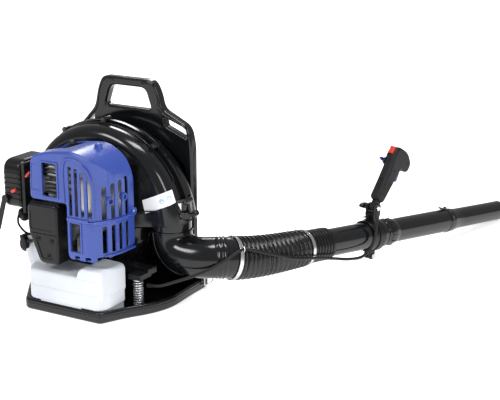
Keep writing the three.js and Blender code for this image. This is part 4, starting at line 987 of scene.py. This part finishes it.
# ---------- control handle ----------
def build_handle():
    profile = rounded([(-18, 18, 12), (-20, 60, 30), (-25, 112, 20), (-34, 136, 14), (-31, 163, 18), (14, 170, 20),
                       (44, 152, 18), (44, 124, 14), (17, 124, 9), (13, 60, 30), (12, 18, 12)], 8)
    whole = prism(profile, "x", -15, 15, 7, segments=7)
    eye = pin((-8, 0, 0), (8, 0, 0), 8.5, 40, 0.8)
    lug = prism([(-8, 0), (8, 0), (8, 28), (-8, 28)], "x", -8, 8, 0.8)
    slots = [box((-5.5, 5.5), (-2, 30), (84, 131)), box((-7.8, 7.8), (-50, -19), (137, 159)),
             pin((-20, 0, 0), (20, 0, 0), 3.4)]
    solid = cut(union(whole, union(eye, lug)), *slots)
    levels = (36, 42, 48, 54, 60, 66, 72)
    grooves = [box((s * 12.8, s * 20) if s > 0 else (-20, -12.8), (-12, 6), (z - 0.8, z + 0.8)) for s in (-1, 1)
               for z in levels]
    grooves += [box((-7, 7), (-30, -18.6), (z - 0.8, z + 0.8)) for z in levels]
    solid = cut(solid, merged(*grooves))
    for word, side in SIDES:
        half = overlap(solid, box((-40, -0.15) if side < 0 else (0.15, 40), (-90, 90), (-40, 200)))
        piece(f"grip_half_{word}", moved(half, HANDLE), "grain", [f"grip_shell_{word}"], "handle", edge=0.4)
    heads = [moved(screw((14.4, y, z), (1, 0, 0), 2.2, 1.2), HANDLE) for y, z in ((-3, 27), (-8, 104), (28, 146))]
    piece("grip_screws", merged(*heads), "grain", (), "handle")
    trigger = slab([(8, 117, 3), (10, 128, 3), (24, 128, 3), (27, 112, 10), (31, 92, 3), (25, 88, 3), (19, 104, 8)],
                   "x", -4.9, 4.9, 1.8, arc=6)
    piece("trigger_blade", moved(trigger, HANDLE), "navy", ["throttle_trigger"], "throttle_trigger")
    lever = union(pin((-15.4, -20, 122), (-20, -20, 122), 9, 36, 0.8),
                  slab([(-20, 127, 1), (-40, 123, 3), (-44, 117, 2), (-36, 115, 4), (-20, 117, 1)], "x", -20, -15.6,
                       0.8, arc=6))
    piece("lever_blade", moved(lever, HANDLE), "navy", ["cruise_lever"], "cruise_lever")
    rocker = slab([(-22, 139, 2), (-40, 138.5, 2.5), (-37.5, 148, 8), (-40, 157.5, 2.5), (-22, 157, 2)], "x", -6.9,
                  6.9, 1.3, arc=6)
    piece("rocker", moved(rocker, HANDLE), "red", ["stop_switch"], "stop_switch")


# ---------- engine cover ----------
COVER_REAR, COVER_FRONT, COVER_WALL = -165, -42, 3
REAR_SLOTS = tuple((31 + 16 * i, 40 + 16 * i, top) for i, top in enumerate((350, 346, 338, 324)))
SIDE_SLOTS = (-140, -119, -98, -77)


def arched(x0, x1, z0, z1):
    """A tall slot with a rounded top."""
    return rounded([(x0, z0, 2), (x1, z0, 2), (x1, z1, 4.4), (x0, z1, 4.4)], 5)


def cover_profile(d):
    return rounded([(-80 + d, 262, 16), (-74 + d, 362 - d, 20), (-20, 376 - d, 20), (50, 384 - d, 24),
                    (98 - d, 360 - d, 26), (120 - d, 318, 30), (120 - d, 154 + d, 14), (104 - d, 136 + d, 16),
                    (22 + d, 136 + d, 16), (22 + d, 262, 6)], 8)


def cover_plan(d, front):
    return rounded([(-80 + d, front, 0), (-80 + d, COVER_REAR + d, 10), (84 - d, COVER_REAR + d, 16),
                    (112 - d, -124, 30), (120 - d, -70, 30), (120 - d, front, 0)], 8)


def cover_solid(d):
    front = COVER_FRONT + (10 if d else 0)
    return overlap(prism(cover_profile(d), "y", COVER_REAR + d, front, 2.5 if d else 5),
                   prism(cover_plan(d, front), "z", 110, 410))


def build_engine_cover():
    skin = cut(cover_solid(0), cover_solid(COVER_WALL))
    rear = [prism(arched(x0, x1, 238, top), "y", -180, -150) for x0, x1, top in REAR_SLOTS]
    low_window = slab(rect(32, 60, 156, 222, 3), "y", -180, -150)
    fin_window = slab(rect(-40, 0, 274, 350, 3), "y", -180, -150)
    side = []
    for i, y in enumerate(SIDE_SLOTS):
        side.append(prism(arched(y, y + 11, 154, 216), "x", 88, 130))
        side.append(prism(arched(y, y + 11, 230, 306 + 4 * i), "x", 88, 130))
    top_opening = slab([(-66, -120, 10), (0, -128, 14), (6, -52, 14), (-66, -52, 10)], "z", 340, 420)
    shell = cut(skin, merged(*rear), merged(*side), low_window, fin_window, top_opening,
                box((-74, 8), (-153, 0), (240, 270)), box((-100, -60), (-150, 0), (240, 344)),
                box((28, 108), (-151, 0), (110, 146)), box((15, 30), (-151, 0), (130, 270)))
    left_panel = slab([(-74, 284, 3), (-46, 284, 3), (-46, 346, 3), (-71, 344, 3)], "y", -170, -163.6)
    notches = [slab([(x, 130, 0), (x, 147, 3), (x + 14, 147, 3), (x + 14, 130, 0)], "y", -180, -158)
               for x in (42, 70)]
    shell = cut(shell, left_panel, *notches)
    frames = [slab(rect(x0 - 4, x1 + 4, z0 - 4, z1 + 4, 4), "y", -167.4, -163, 1.2,
                   [rounded([(x0, z0, 2), (x0, z1, 2), (x1, z1, 2), (x1, z0, 2)])])
              for x0, x1, z0, z1 in ((32, 60, 156, 222), (-40, 0, 274, 350))]
    waist = slab(rect(25, 83, 225.5, 234.5, 2), "y", -168.6, -163, 2)
    piece("cover_moulding", union(shell, *frames, waist), "blue", ["engine_cover"], edge=0.9)
    corner = [(82, -166.4), (92, -158), (105, -138), (113, -122), (119.4, -96), (120.6, -70), (120.6, -45)]
    trim = [wire([(x, y, 225.5) for x, y in corner], 4.2), wire([(x, y, 148) for x, y in corner[2:]], 2.4),
            wire([(19, -165.4, 266), (19, -165.6, 350), (28, -165.8, 365), (50, -165.8, 366), (76, -165.6, 352),
                  (88, -164, 334), (93, -160, 300), (92.6, -160, 236)], 2.8)]
    for at, way in (((56, -84, 379), (0, 0, 1)), ((118.5, -52, 234), (1, 0, 0))):
        trim.append(lathe([(0, -4), (11, -4), (9.4, 0), (8.8, 7), (8.2, 8), (4.8, 8), (4.4, 6), (0, 6)], at, way,
                          40))
    for at, way in (((112, -124, 272), (0.93, -0.37, 0)), ((119, -82, 274), (1, -0.08, 0))):
        trim.append(lathe([(5.4, -6), (8.8, -6), (8.8, 3.6), (8.2, 4.2), (6, 4.2), (5.4, 3.6), (5.4, -6)], at, way,
                          40))
    piece("cover_trim", merged(*trim), "blue", angle=40)
    piece("cover_screws",
          merged(screw((56, -84, 384.8), (0, 0, 1), 3.2, 2), screw((124.3, -52, 234), (1, 0, 0), 3.2, 2)), "steel")
    fins = [box((-39, -1), (-158, -150), (z, z + 2.4)) for z in range(280, 350, 9)]
    piece("window_fins", merged(*fins), "grain", edge=0.5)


# ---------- recoil starter ----------
ROPE_DROP = -23.5
PULL = Matrix.Translation((AXIS_X, -144, AXIS_Z)) @ Matrix.Rotation(-0.242, 4, "Y")


def build_starter():
    def outline(d):
        return rounded([(-56 + d * 0.3, 116 + d, 12), (-4 - d, 116 + d, 16), (-2 - d, 130, 10),
                        (-2 - d, 254 - d, 14), (-86 + d, 254 - d, 14), (-86 + d, 186, 16)], 8)
    whole = prism(outline(0), "y", -168, -121, 6, segments=5)
    shape = cut(whole, prism(outline(3), "y", -164, -100),
                moved(pin((-60, 0, ROPE_DROP), (-30, 0, ROPE_DROP), 4.5), PULL))
    low_panel = slab([(-66, 178, 5), (-48, 127, 6), (-14, 127, 8), (-12, 178, 5)], "y", -175, -166.4)
    top_panel = slab([(-78, 193, 5), (-78, 236, 6), (-12, 236, 6), (-12, 193, 5)], "y", -175, -166.8)
    groove = box((-95, 5), (-175, -166.2), (184, 186.4))
    brow = slab([(-86, 246, 4), (-2, 246, 4), (-6, 256, 4), (-82, 256, 4)], "y", -160, -140, 3)
    shape = cut(shape, low_panel, top_panel, groove)
    piece("starter_housing", union(shape, brow), "satin", ["starter_cover"], edge=0.8)
    places = ((-20, 170), (-58, 172), (-30, 134))
    rims = [ring((x, -166.2, z), (0, -1, 0), 8, 6, 0.8, 32, 0.3) for x, z in places]
    piece("starter_screws", merged(*[screw((x, -166.4, z), (0, -1, 0), 3.6, 2.6) for x, z in places]), "satin")
    piece("starter_screw_rims", merged(*rims), "satin")
    post = pin((AXIS_X, -166, AXIS_Z), (AXIS_X, -122, AXIS_Z), 5, 24, 0.6)
    piece("starter_post", post, "steel")
    collar = moved(lathe([(3.2, 0), (7.5, 0), (7, 3), (5.4, 5.4), (3.2, 5.4), (3.2, 0)], (-43, 0, ROPE_DROP),
                         (-1, 0, 0), 32), PULL)
    piece("starter_eyelet", collar, "rubber")
    bar = slab([(-98, ROPE_DROP - 18, 6), (-86, ROPE_DROP - 17, 5), (-81, ROPE_DROP, 5), (-86, ROPE_DROP + 17, 5),
                (-98, ROPE_DROP + 18, 6), (-95.5, ROPE_DROP, 20)], "y", -8, 8, 3.4, segments=5)
    grooves = [box((-99, -79), (s * 7.4, s * 9) if s > 0 else (-9, -7.4),
                   (ROPE_DROP + z - 0.8, ROPE_DROP + z + 0.8)) for s in (-1, 1) for z in (-10, -5, 0, 5, 10)]
    stem = lathe([(0, 0), (4.6, 0), (4.2, 10), (3.4, 22), (2.6, 24), (0, 24)], (-82, 0, ROPE_DROP), (1, 0, 0), 28)
    grip = union(cut(bar, merged(*grooves)), stem)
    piece("starter_tee", moved(grip, PULL), "grain", ["starter_grip"], "starter_grip", edge=0.4)
    start, end = PULL @ Vector((-46, 0, ROPE_DROP)), PULL @ Vector((-60, 0, ROPE_DROP))
    rope = [start.lerp(end, k / 60) for k in range(61)]
    line = piece("starter_cord", sweep(rope, 1.9, 12), "rope", (), None)
    between(line, "machine", "starter_grip", start.lerp(end, 0.05), start.lerp(end, 0.95))
    coil = []
    for layer in range(3):
        radius = 21.4 + layer * 2.1
        path = [(AXIS_X + radius * math.cos(a), -147.4 + 6.6 * k / 90, AXIS_Z + radius * math.sin(a))
                for k, a in ((k, 6 * math.pi * k / 90) for k in range(91))]
        coil.append(sweep(path, 1.1, 6))
    piece("starter_coil", merged(*coil), "rope", ["starter_rope"], "starter_reel")


# ---------- air filter, carburettor side ----------
def build_air_filter():
    x0, x1 = -169.6, -115.9
    outline = rounded([(-150, 226, 20), (-150, 338, 30), (-36, 338, 24), (-36, 226, 20)], 8)
    inner = rounded([(-147, 229, 18), (-147, 335, 28), (-39, 335, 22), (-39, 229, 18)], 8)
    body = prism(outline, "x", x0, x1, 11, segments=6)
    body = cut(body, prism(inner, "x", x0 + 3, x1 + 20, 8))
    ribs = [slab(rect(y, y + 6, 238, 322, 2), "x", x0 - 3, x0 + 4, 1.2) for y in range(-138, -50, 13)]
    edge_ribs = [box((-162, -120), (-152.4, -148), (z, z + 3)) for z in (246, 258, 270, 282, 294, 306)]
    piece("filter_cover", union(body, *ribs, merged(*edge_ribs)), "satin", ["air_filter_cover"], edge=0.8)
    knob = lathe([(0, 0), (13, 0), (13, 3), (11, 5), (9, 11), (7.6, 12), (0, 12)], (-172, -93, 284), (-1, 0, 0), 9)
    piece("filter_knob", knob, "grain", edge=0.6)
    # the warm-start tab and the fuel line's clip: small red pieces under the cover's edge
    tab = slab([(-140, 270, 3), (-128, 276, 3), (-126, 269, 3), (-138, 263, 3)], "y", -158, -151, 1)
    clip = slab([(-104, 306, 2), (-92, 318, 2), (-89, 315, 2), (-100, 302, 2)], "y", -150, -144, 1)
    piece("filter_tab", merged(tab, clip), "red")
    line = wire([(-142, -104, 216), (-146, -126, 204), (-142, -134, 186), (-130, -130, 168), (-120, -116, 154)])
    piece("fuel_line", line, "rubber")
    ridged = [(0, 206), (15, 206)]
    for z in range(207, 221, 4):
        ridged += [(16.4, z), (16.4, z + 1.8), (14.6, z + 2.2), (14.6, z + 3.6)]
    piece("filter_stub", lathe(ridged + [(0, 223)], (-142, -92, 0), (0, 0, 1), 40), "grain")
    bulb = lathe([(0, -2), (13, -2), (13, 1.6), (11.4, 3), (10.6, 5), (9.6, 8), (7.2, 11), (3.8, 12.7), (0, 13)],
                 (-140, -116, 203), (0, -1, 0), 48)
    piece("primer_dome", bulb, "rubber", ["primer_bulb"], "primer_bulb", angle=50)
    pivot = lathe([(0, 0), (9, 0), (9, 6), (7.8, 7), (0, 7)], (-158, -152, 248), (0, -1, 0), 36)
    arm = slab([(-164, 256, 4), (-152, 254, 4), (-179, 168, 5), (-193, 171, 5), (-182, 202, 30)], "y", -158, -153.6,
               1.4, arc=8)
    piece("choke_arm", union(pivot, arm), "satin", ["choke_lever"], "choke_lever", edge=0.4)


# ---------- fuel tank ----------
def tank_plan(d):
    """The tank's upper half from above, `d` mm outside its wall."""
    return [(104 + d, -172 - d, 14), (118 + d, -150, 16), (118 + d, -78 + d, 16), (-106 - d, -78 + d, 16),
            (-106 - d, -140, 18), (-84 - d, -172 - d, 14)]


def build_tank():
    upper = slab(tank_plan(0), "z", 27, 98, 6, segments=5, arc=8)
    lower = slab([(92, -164, 14), (112, -140, 16), (112, -78, 10), (-98, -78, 10), (-98, -132, 16),
                  (-76, -164, 14)], "z", 8.3, 60, 2, arc=8)
    shoulder = slab([(30, 50, 12), (52, 120, 14), (117.4, 118, 16), (117.4, 50, 14)], "y", -170.4, -78.6, 6,
                    segments=5, arc=8)
    tower = slab([(-98, 36, 10), (-130, 118, 20), (-130, 158, 14), (-102, 158, 14), (-66, 96, 14), (-66, 40, 12)],
                 "y", -130, -86, 5, segments=5, arc=8)
    neck = pin((-126, -108, 134), (-139, -108, 134), 17, 48)
    body = union(upper, lower, shoulder, tower)
    foot = slab([(-60, 20, 4), (-56, 30, 4), (56, 30, 4), (60, 20, 4)], "y", -170.5, -160, 1.5, arc=5)
    mouth = pin((-115, -108, 134), (-150, -108, 134), 14, 48)
    body = cut(union(body, foot, neck), union(mouth, box((-124, -104), (-124, -92), (100, 150))))
    piece("tank_moulding", body, "white", ["fuel_tank"], edge=1.2)
    seam = slab(tank_plan(0.6), "z", 60.4, 61.6, 0.4, arc=8)
    hollow = slab([(100, -166, 14), (112, -148, 16), (112, -84, 16), (-100, -84, 16), (-100, -138, 18),
                   (-80, -166, 14)], "z", 55, 65, arc=8)
    piece("tank_seam", cut(seam, hollow), "white")
    top = lathe([(17.4, 0), (20.6, 0), (20.6, 14.6), (19.4, 16.4), (17, 17), (9, 17), (8, 15.4), (0, 15.4), (0, 8),
                 (17.4, 8), (17.4, 0)], (-131, -108, 134), (-1, 0, 0), 64)
    knurl = []
    for k in range(24):
        a = 2 * math.pi * k / 24
        y, z = -108 + 20.8 * math.cos(a), 134 + 20.8 * math.sin(a)
        knurl.append(pin((-131.8, y, z), (-145, y, z), 1.5, 10, 0.4))
    bar = box((-148, -144.5), (-111, -105), (120, 148))
    piece("cap_moulding", merged(top, bar, *knurl), "grain", ["fuel_cap"], "fuel_cap", edge=0.5)


# ---------- springs, cable and harness ----------
def build_springs():
    for word, side in SIDES:
        turns, steps = 12, 26
        path = []
        for k in range(turns * steps + 1):
            a = 2 * math.pi * k / steps
            turn = k / steps
            dead = min(1, max(0, (turn - 0.9) / (turns - 1.8)))
            end_lift = 0 if 0 < dead < 1 else (turn if dead == 0 else turn - turns) * 1.2
            path.append((side * SPRING_X + 10.4 * math.cos(a), SPRING_Y + 10.4 * math.sin(a),
                         17 + 59.2 * dead + end_lift))
        piece(f"coil_spring_{word}", sweep(path, 1.95, 12), "steel", [f"spring_{word}"], angle=60)


def beside(line, share, out, up):
    count = len(line) - 1
    at = line[round(share * count)]
    i = max(1, min(count - 1, round(share * count)))
    tangent = (line[i + 1] - line[i - 1]).normalized()
    return at + tangent.cross(Vector((0, 0, 1))).normalized() * out + Vector((0, 0, up))


def build_cable():
    points = [Vector((151, -46, 60)), Vector((180, -40, 62)), Vector((214, -26, 74)),
              beside(ELBOW_LINE, 0.74, 56, -14), beside(ELBOW_LINE, 0.9, 54, 14), clip_centre(),
              beside(HOSE_LINE, 0.16, 54, 34), beside(HOSE_LINE, 0.32, 55, 24), beside(HOSE_LINE, 0.5, 53, 12),
              beside(HOSE_LINE, 0.66, 54, 0), beside(HOSE_LINE, 0.9, 52, -10)]
    points += [BOOM @ Vector(p) for p in ((46, 60, -24), (46, 120, -34), (46, 170, -34), (46, 200, -16),
                                          (44, 214, 16), (36, 224, 46), (22, 236, 66))]
    step = 12
    line = smooth_line(points, step)
    hose_ends = hose_at(0), hose_at(0.5), hose_at(1)
    spans = [("cable_at_engine", 0, 5, ["throttle_cable_rear"], "machine", None, None),
             ("cable_near_hose", 5, 8, (), "machine", "hose", hose_ends[:2]),
             ("cable_far_hose", 8, 11, ["throttle_cable_front"], "hose", "boom", hose_ends[1:]),
             ("cable_on_cuff", 11, 13, (), "boom", "tube", None),
             ("cable_at_tube", 13, 15, (), "tube", "bracket", None),
             ("cable_at_grip", 15, 17, (), "bracket", "handle", None)]
    for name, first, last, replaced, a, b, ends in spans:
        part = line[first * step:last * step + 1]
        obj = piece(name, sweep(part, 3.6, 16), "rubber", replaced, None if b else a, angle=60)
        if b:
            between(obj, a, b, *(ends or (part[2], part[-3])))
    piece("cable_sleeve", sweep(line[:5], 4.6, 20), "rubber")


def build_rings():
    for word, side in SIDES:
        loop = rounded([(y, z, 4) for z, y in [(0, 19), (-28, 19), (-28, -19), (0, -19)]], 8)
        points = []
        for (y0, z0), (y1, z1) in zip(loop, loop[1:] + loop[:1]):
            steps = max(1, int(math.hypot(y1 - y0, z1 - z0) / 2.5))
            points += [(side * 193, 150 + y0 + (y1 - y0) * k / steps, 40 + z0 + (z1 - z0) * k / steps)
                       for k in range(steps)]
        piece(f"dee_{word}", sweep_loop(points, 1.7, 14), "steel", [f"strap_ring_{word}"], f"strap_ring_{word}",
              angle=60)


SUBSTEPS, PRESSURE, CLOTH_FRAMES = 5, 4, 20


def cushion(name, shape, swell, voxel=0.006):
    """A foam pad: the shape is remeshed and blown up by a cloth simulation, at most `swell` mm."""
    obj = link(name, mesh_of(shape, name, MM))
    remesh = obj.modifiers.new("remesh", "REMESH")
    remesh.mode, remesh.voxel_size = "VOXEL", voxel
    mesh = evaluated(obj)
    obj.modifiers.clear()
    obj.data = mesh
    rest = [v.co.copy() for v in mesh.vertices]
    settings = obj.modifiers.new("cloth", "CLOTH").settings
    settings.use_pressure, settings.uniform_pressure_force = True, PRESSURE
    settings.effector_weights.gravity = 0
    settings.quality = SUBSTEPS
    for step in range(1, CLOTH_FRAMES + 1):
        scene.frame_set(step)
    swollen = evaluated(obj)
    obj.modifiers.clear()
    limit = swell * MM
    for vertex, start, end in zip(mesh.vertices, rest, swollen.vertices):
        shift = end.co - start
        vertex.co = start + (shift if shift.length < limit else shift.normalized() * limit)
    scene.frame_set(1)
    return obj


def finish_soft(obj, look, replaced):
    smooth = obj.modifiers.new("smooth", "SUBSURF")
    smooth.levels = smooth.render_levels = 1
    mesh = evaluated(obj)
    obj.modifiers.clear()
    obj.data = mesh
    mesh.materials.clear()
    mesh.materials.append(LOOK[look])
    mesh.shade_smooth()
    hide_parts(replaced)
    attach(obj, "machine")


PAD_CHANNELS = (142, 192, 242, 290)


def build_pad():
    outline = rounded(both_sides([(112, 98, 22), (120, 240, 60), (98, 315, 26)]), 8)
    body = cushion("back_cushion", prism(outline, "y", 135, 153, 6), 6)
    for vertex in body.data.vertices:
        x, y, z = (c / MM for c in vertex.co)
        if y > 146:
            dip = sum(math.exp(-((z - at) / 5.5) ** 2) for at in PAD_CHANNELS) + math.exp(-(x / 6.5) ** 2)
            vertex.co.y -= min(1.2, dip) * 6.5 * MM
        if y < 134.2:
            vertex.co.y = 0.1342
    finish_soft(body, "mesh", "back_pad")
    edge = [(x, 144.5, z) for x, z in rounded(both_sides([(117.5, 92.5, 24), (126, 240, 60), (103, 320.5, 28)]), 8)]
    dense = []
    for p, q in zip(edge, edge[1:] + edge[:1]):
        steps = max(1, int((Vector(q) - Vector(p)).length / 6))
        dense += [tuple(Vector(p).lerp(Vector(q), k / steps)) for k in range(steps)]
    piece("pad_piping", sweep_loop(dense, 2.3, 10), "piping")


STRAP_X = 72
STRAP_LINE = ((140, 330), (158, 338), (186, 322), (206, 262), (204, 190), (188, 120))


def ribbon(points, normals, widths, thickness):
    """A flat strap along points. normals face out of it; widths are half widths."""
    shape_points = []
    count = len(points)
    for i, (p, n) in enumerate(zip(points, normals)):
        p, n = Vector(p), Vector(n).normalized()
        before, after = Vector(points[max(i - 1, 0)]), Vector(points[min(i + 1, count - 1)])
        across = (after - before).normalized().cross(n).normalized()
        half, t = widths[i], thickness / 2
        section = [(-half, -t * 0.4), (-half + t * 0.7, -t), (half - t * 0.7, -t), (half, -t * 0.4),
                   (half, t * 0.4), (half - t * 0.7, t), (-half + t * 0.7, t), (-half, t * 0.4)]
        shape_points += [tuple(p + across * a + n * b) for a, b in section]
    return shape_points, tube_faces(count, 8) + caps(count, 8)


def build_straps():
    for word, side in SIDES:
        middle = side * STRAP_X
        line = smooth_line([(middle, y, z) for y, z in STRAP_LINE], 10)
        outer, inner = [], []
        for i, p in enumerate(line):
            tangent = (line[min(i + 1, len(line) - 1)] - line[max(i - 1, 0)]).normalized()
            normal = Vector((0, tangent.z, -tangent.y))
            outer.append(p + normal * 4.6)
            inner.append(p - normal * 4.6)
        outline = [(p.y, p.z) for p in outer + inner[::-1]]
        pad = cushion(f"shoulder_cushion_{word}", prism(outline, "x", middle - 26, middle + 26, 2.5), 2.5, 0.0045)
        finish_soft(pad, "mesh", f"shoulder_strap_{word}")
        trims = []
        for edge in (-27, 27):
            for run in (outer, inner):
                trims.append(sweep([Vector((middle + edge * 0.94, p.y, p.z)) for p in run[1:-1]], 1.6, 8))
        centre = [Vector((middle, p.y, p.z)) + (p - q).normalized() * 2.2 for p, q in zip(outer, inner)]
        normals = [p - q for p, q in zip(outer, inner)]
        trims.append(ribbon(centre, normals, [11] * len(centre), 1.8))
        piece(f"strap_binding_{word}", merged(*trims), "piping", angle=50)
        foot = smooth_line([(middle, 189, 122), (side * 84, 187, 104), (side * 112, 182, 86), (side * 140, 176, 66),
                            (side * 156, 170, 52)], 10)
        web = ribbon(foot, [(0, 1, 0.12)] * len(foot), [12.5] * len(foot), 2.0)
        top = smooth_line([(middle, 133.5, 331), (middle, 138, 331.5), (middle, 146, 334)])
        web_top = ribbon(top, [(0, 0, 1)] * len(top), [15] * len(top), 4)
        piece(f"strap_webbing_{word}", merged(web, web_top), "webbing")
        buckle = moved(slab(rect(-19, 19, -13, 13, 4), "y", -2.6, 2.6, 1.2,
                            [rounded([(-14, -8, 2), (-14, -2, 2), (14, -2, 2), (14, -8, 2)]),
                             rounded([(-14, 2, 2), (-14, 8, 2), (14, 8, 2), (14, 2, 2)])]),
                       Matrix.Translation((side * 92, 189.5, 98))
                       @ Matrix.Rotation(side * math.radians(-38), 4, "Y"))
        piece(f"strap_buckle_{word}", buckle, "satin")


# ---------- what stays from the CAD ----------
KEPT = {
    "crankcase": ("alloy", 0.8), "main_bearing_rear": ("steel", 0.3), "main_bearing_front": ("steel", 0.3),
    "crank_half_rear": ("steel", 0.5), "crank_half_front": ("steel", 0.5), "connecting_rod": ("steel", 0.6),
    "piston": ("alloy", 0.4), "cylinder": ("alloy", 0.5), "spark_plug": ("steel", 0.4),
    "spark_plug_cap": ("rubber", 0.8), "muffler": ("sheet", 1.6), "flywheel": ("alloy", 0.5),
    "ignition_coil": ("satin", 0.8), "carburettor": ("alloy", 0.8), "air_filter_plate": ("satin", 0.9),
    "air_filter_element": ("felt", 0.8), "starter_reel": ("reel", 0.4), "engine_bracket": ("satin", 1.2),
    "rubber_mount_left": ("rubber", 0.6), "rubber_mount_right": ("rubber", 0.6), "fan_impeller": ("alloy", 0.4),
}


def main():
    add_camera()
    add_studio()
    build_cable()
    build_base()
    build_frame()
    build_fan_housing()
    build_labels()
    build_hose()
    build_tubes()
    build_bracket()
    build_handle()
    build_engine_cover()
    build_starter()
    build_air_filter()
    build_tank()
    build_springs()
    build_rings()
    build_pad()
    build_straps()
    for name, (look, edge) in KEPT.items():
        keep_node(name, look, edge)


main()
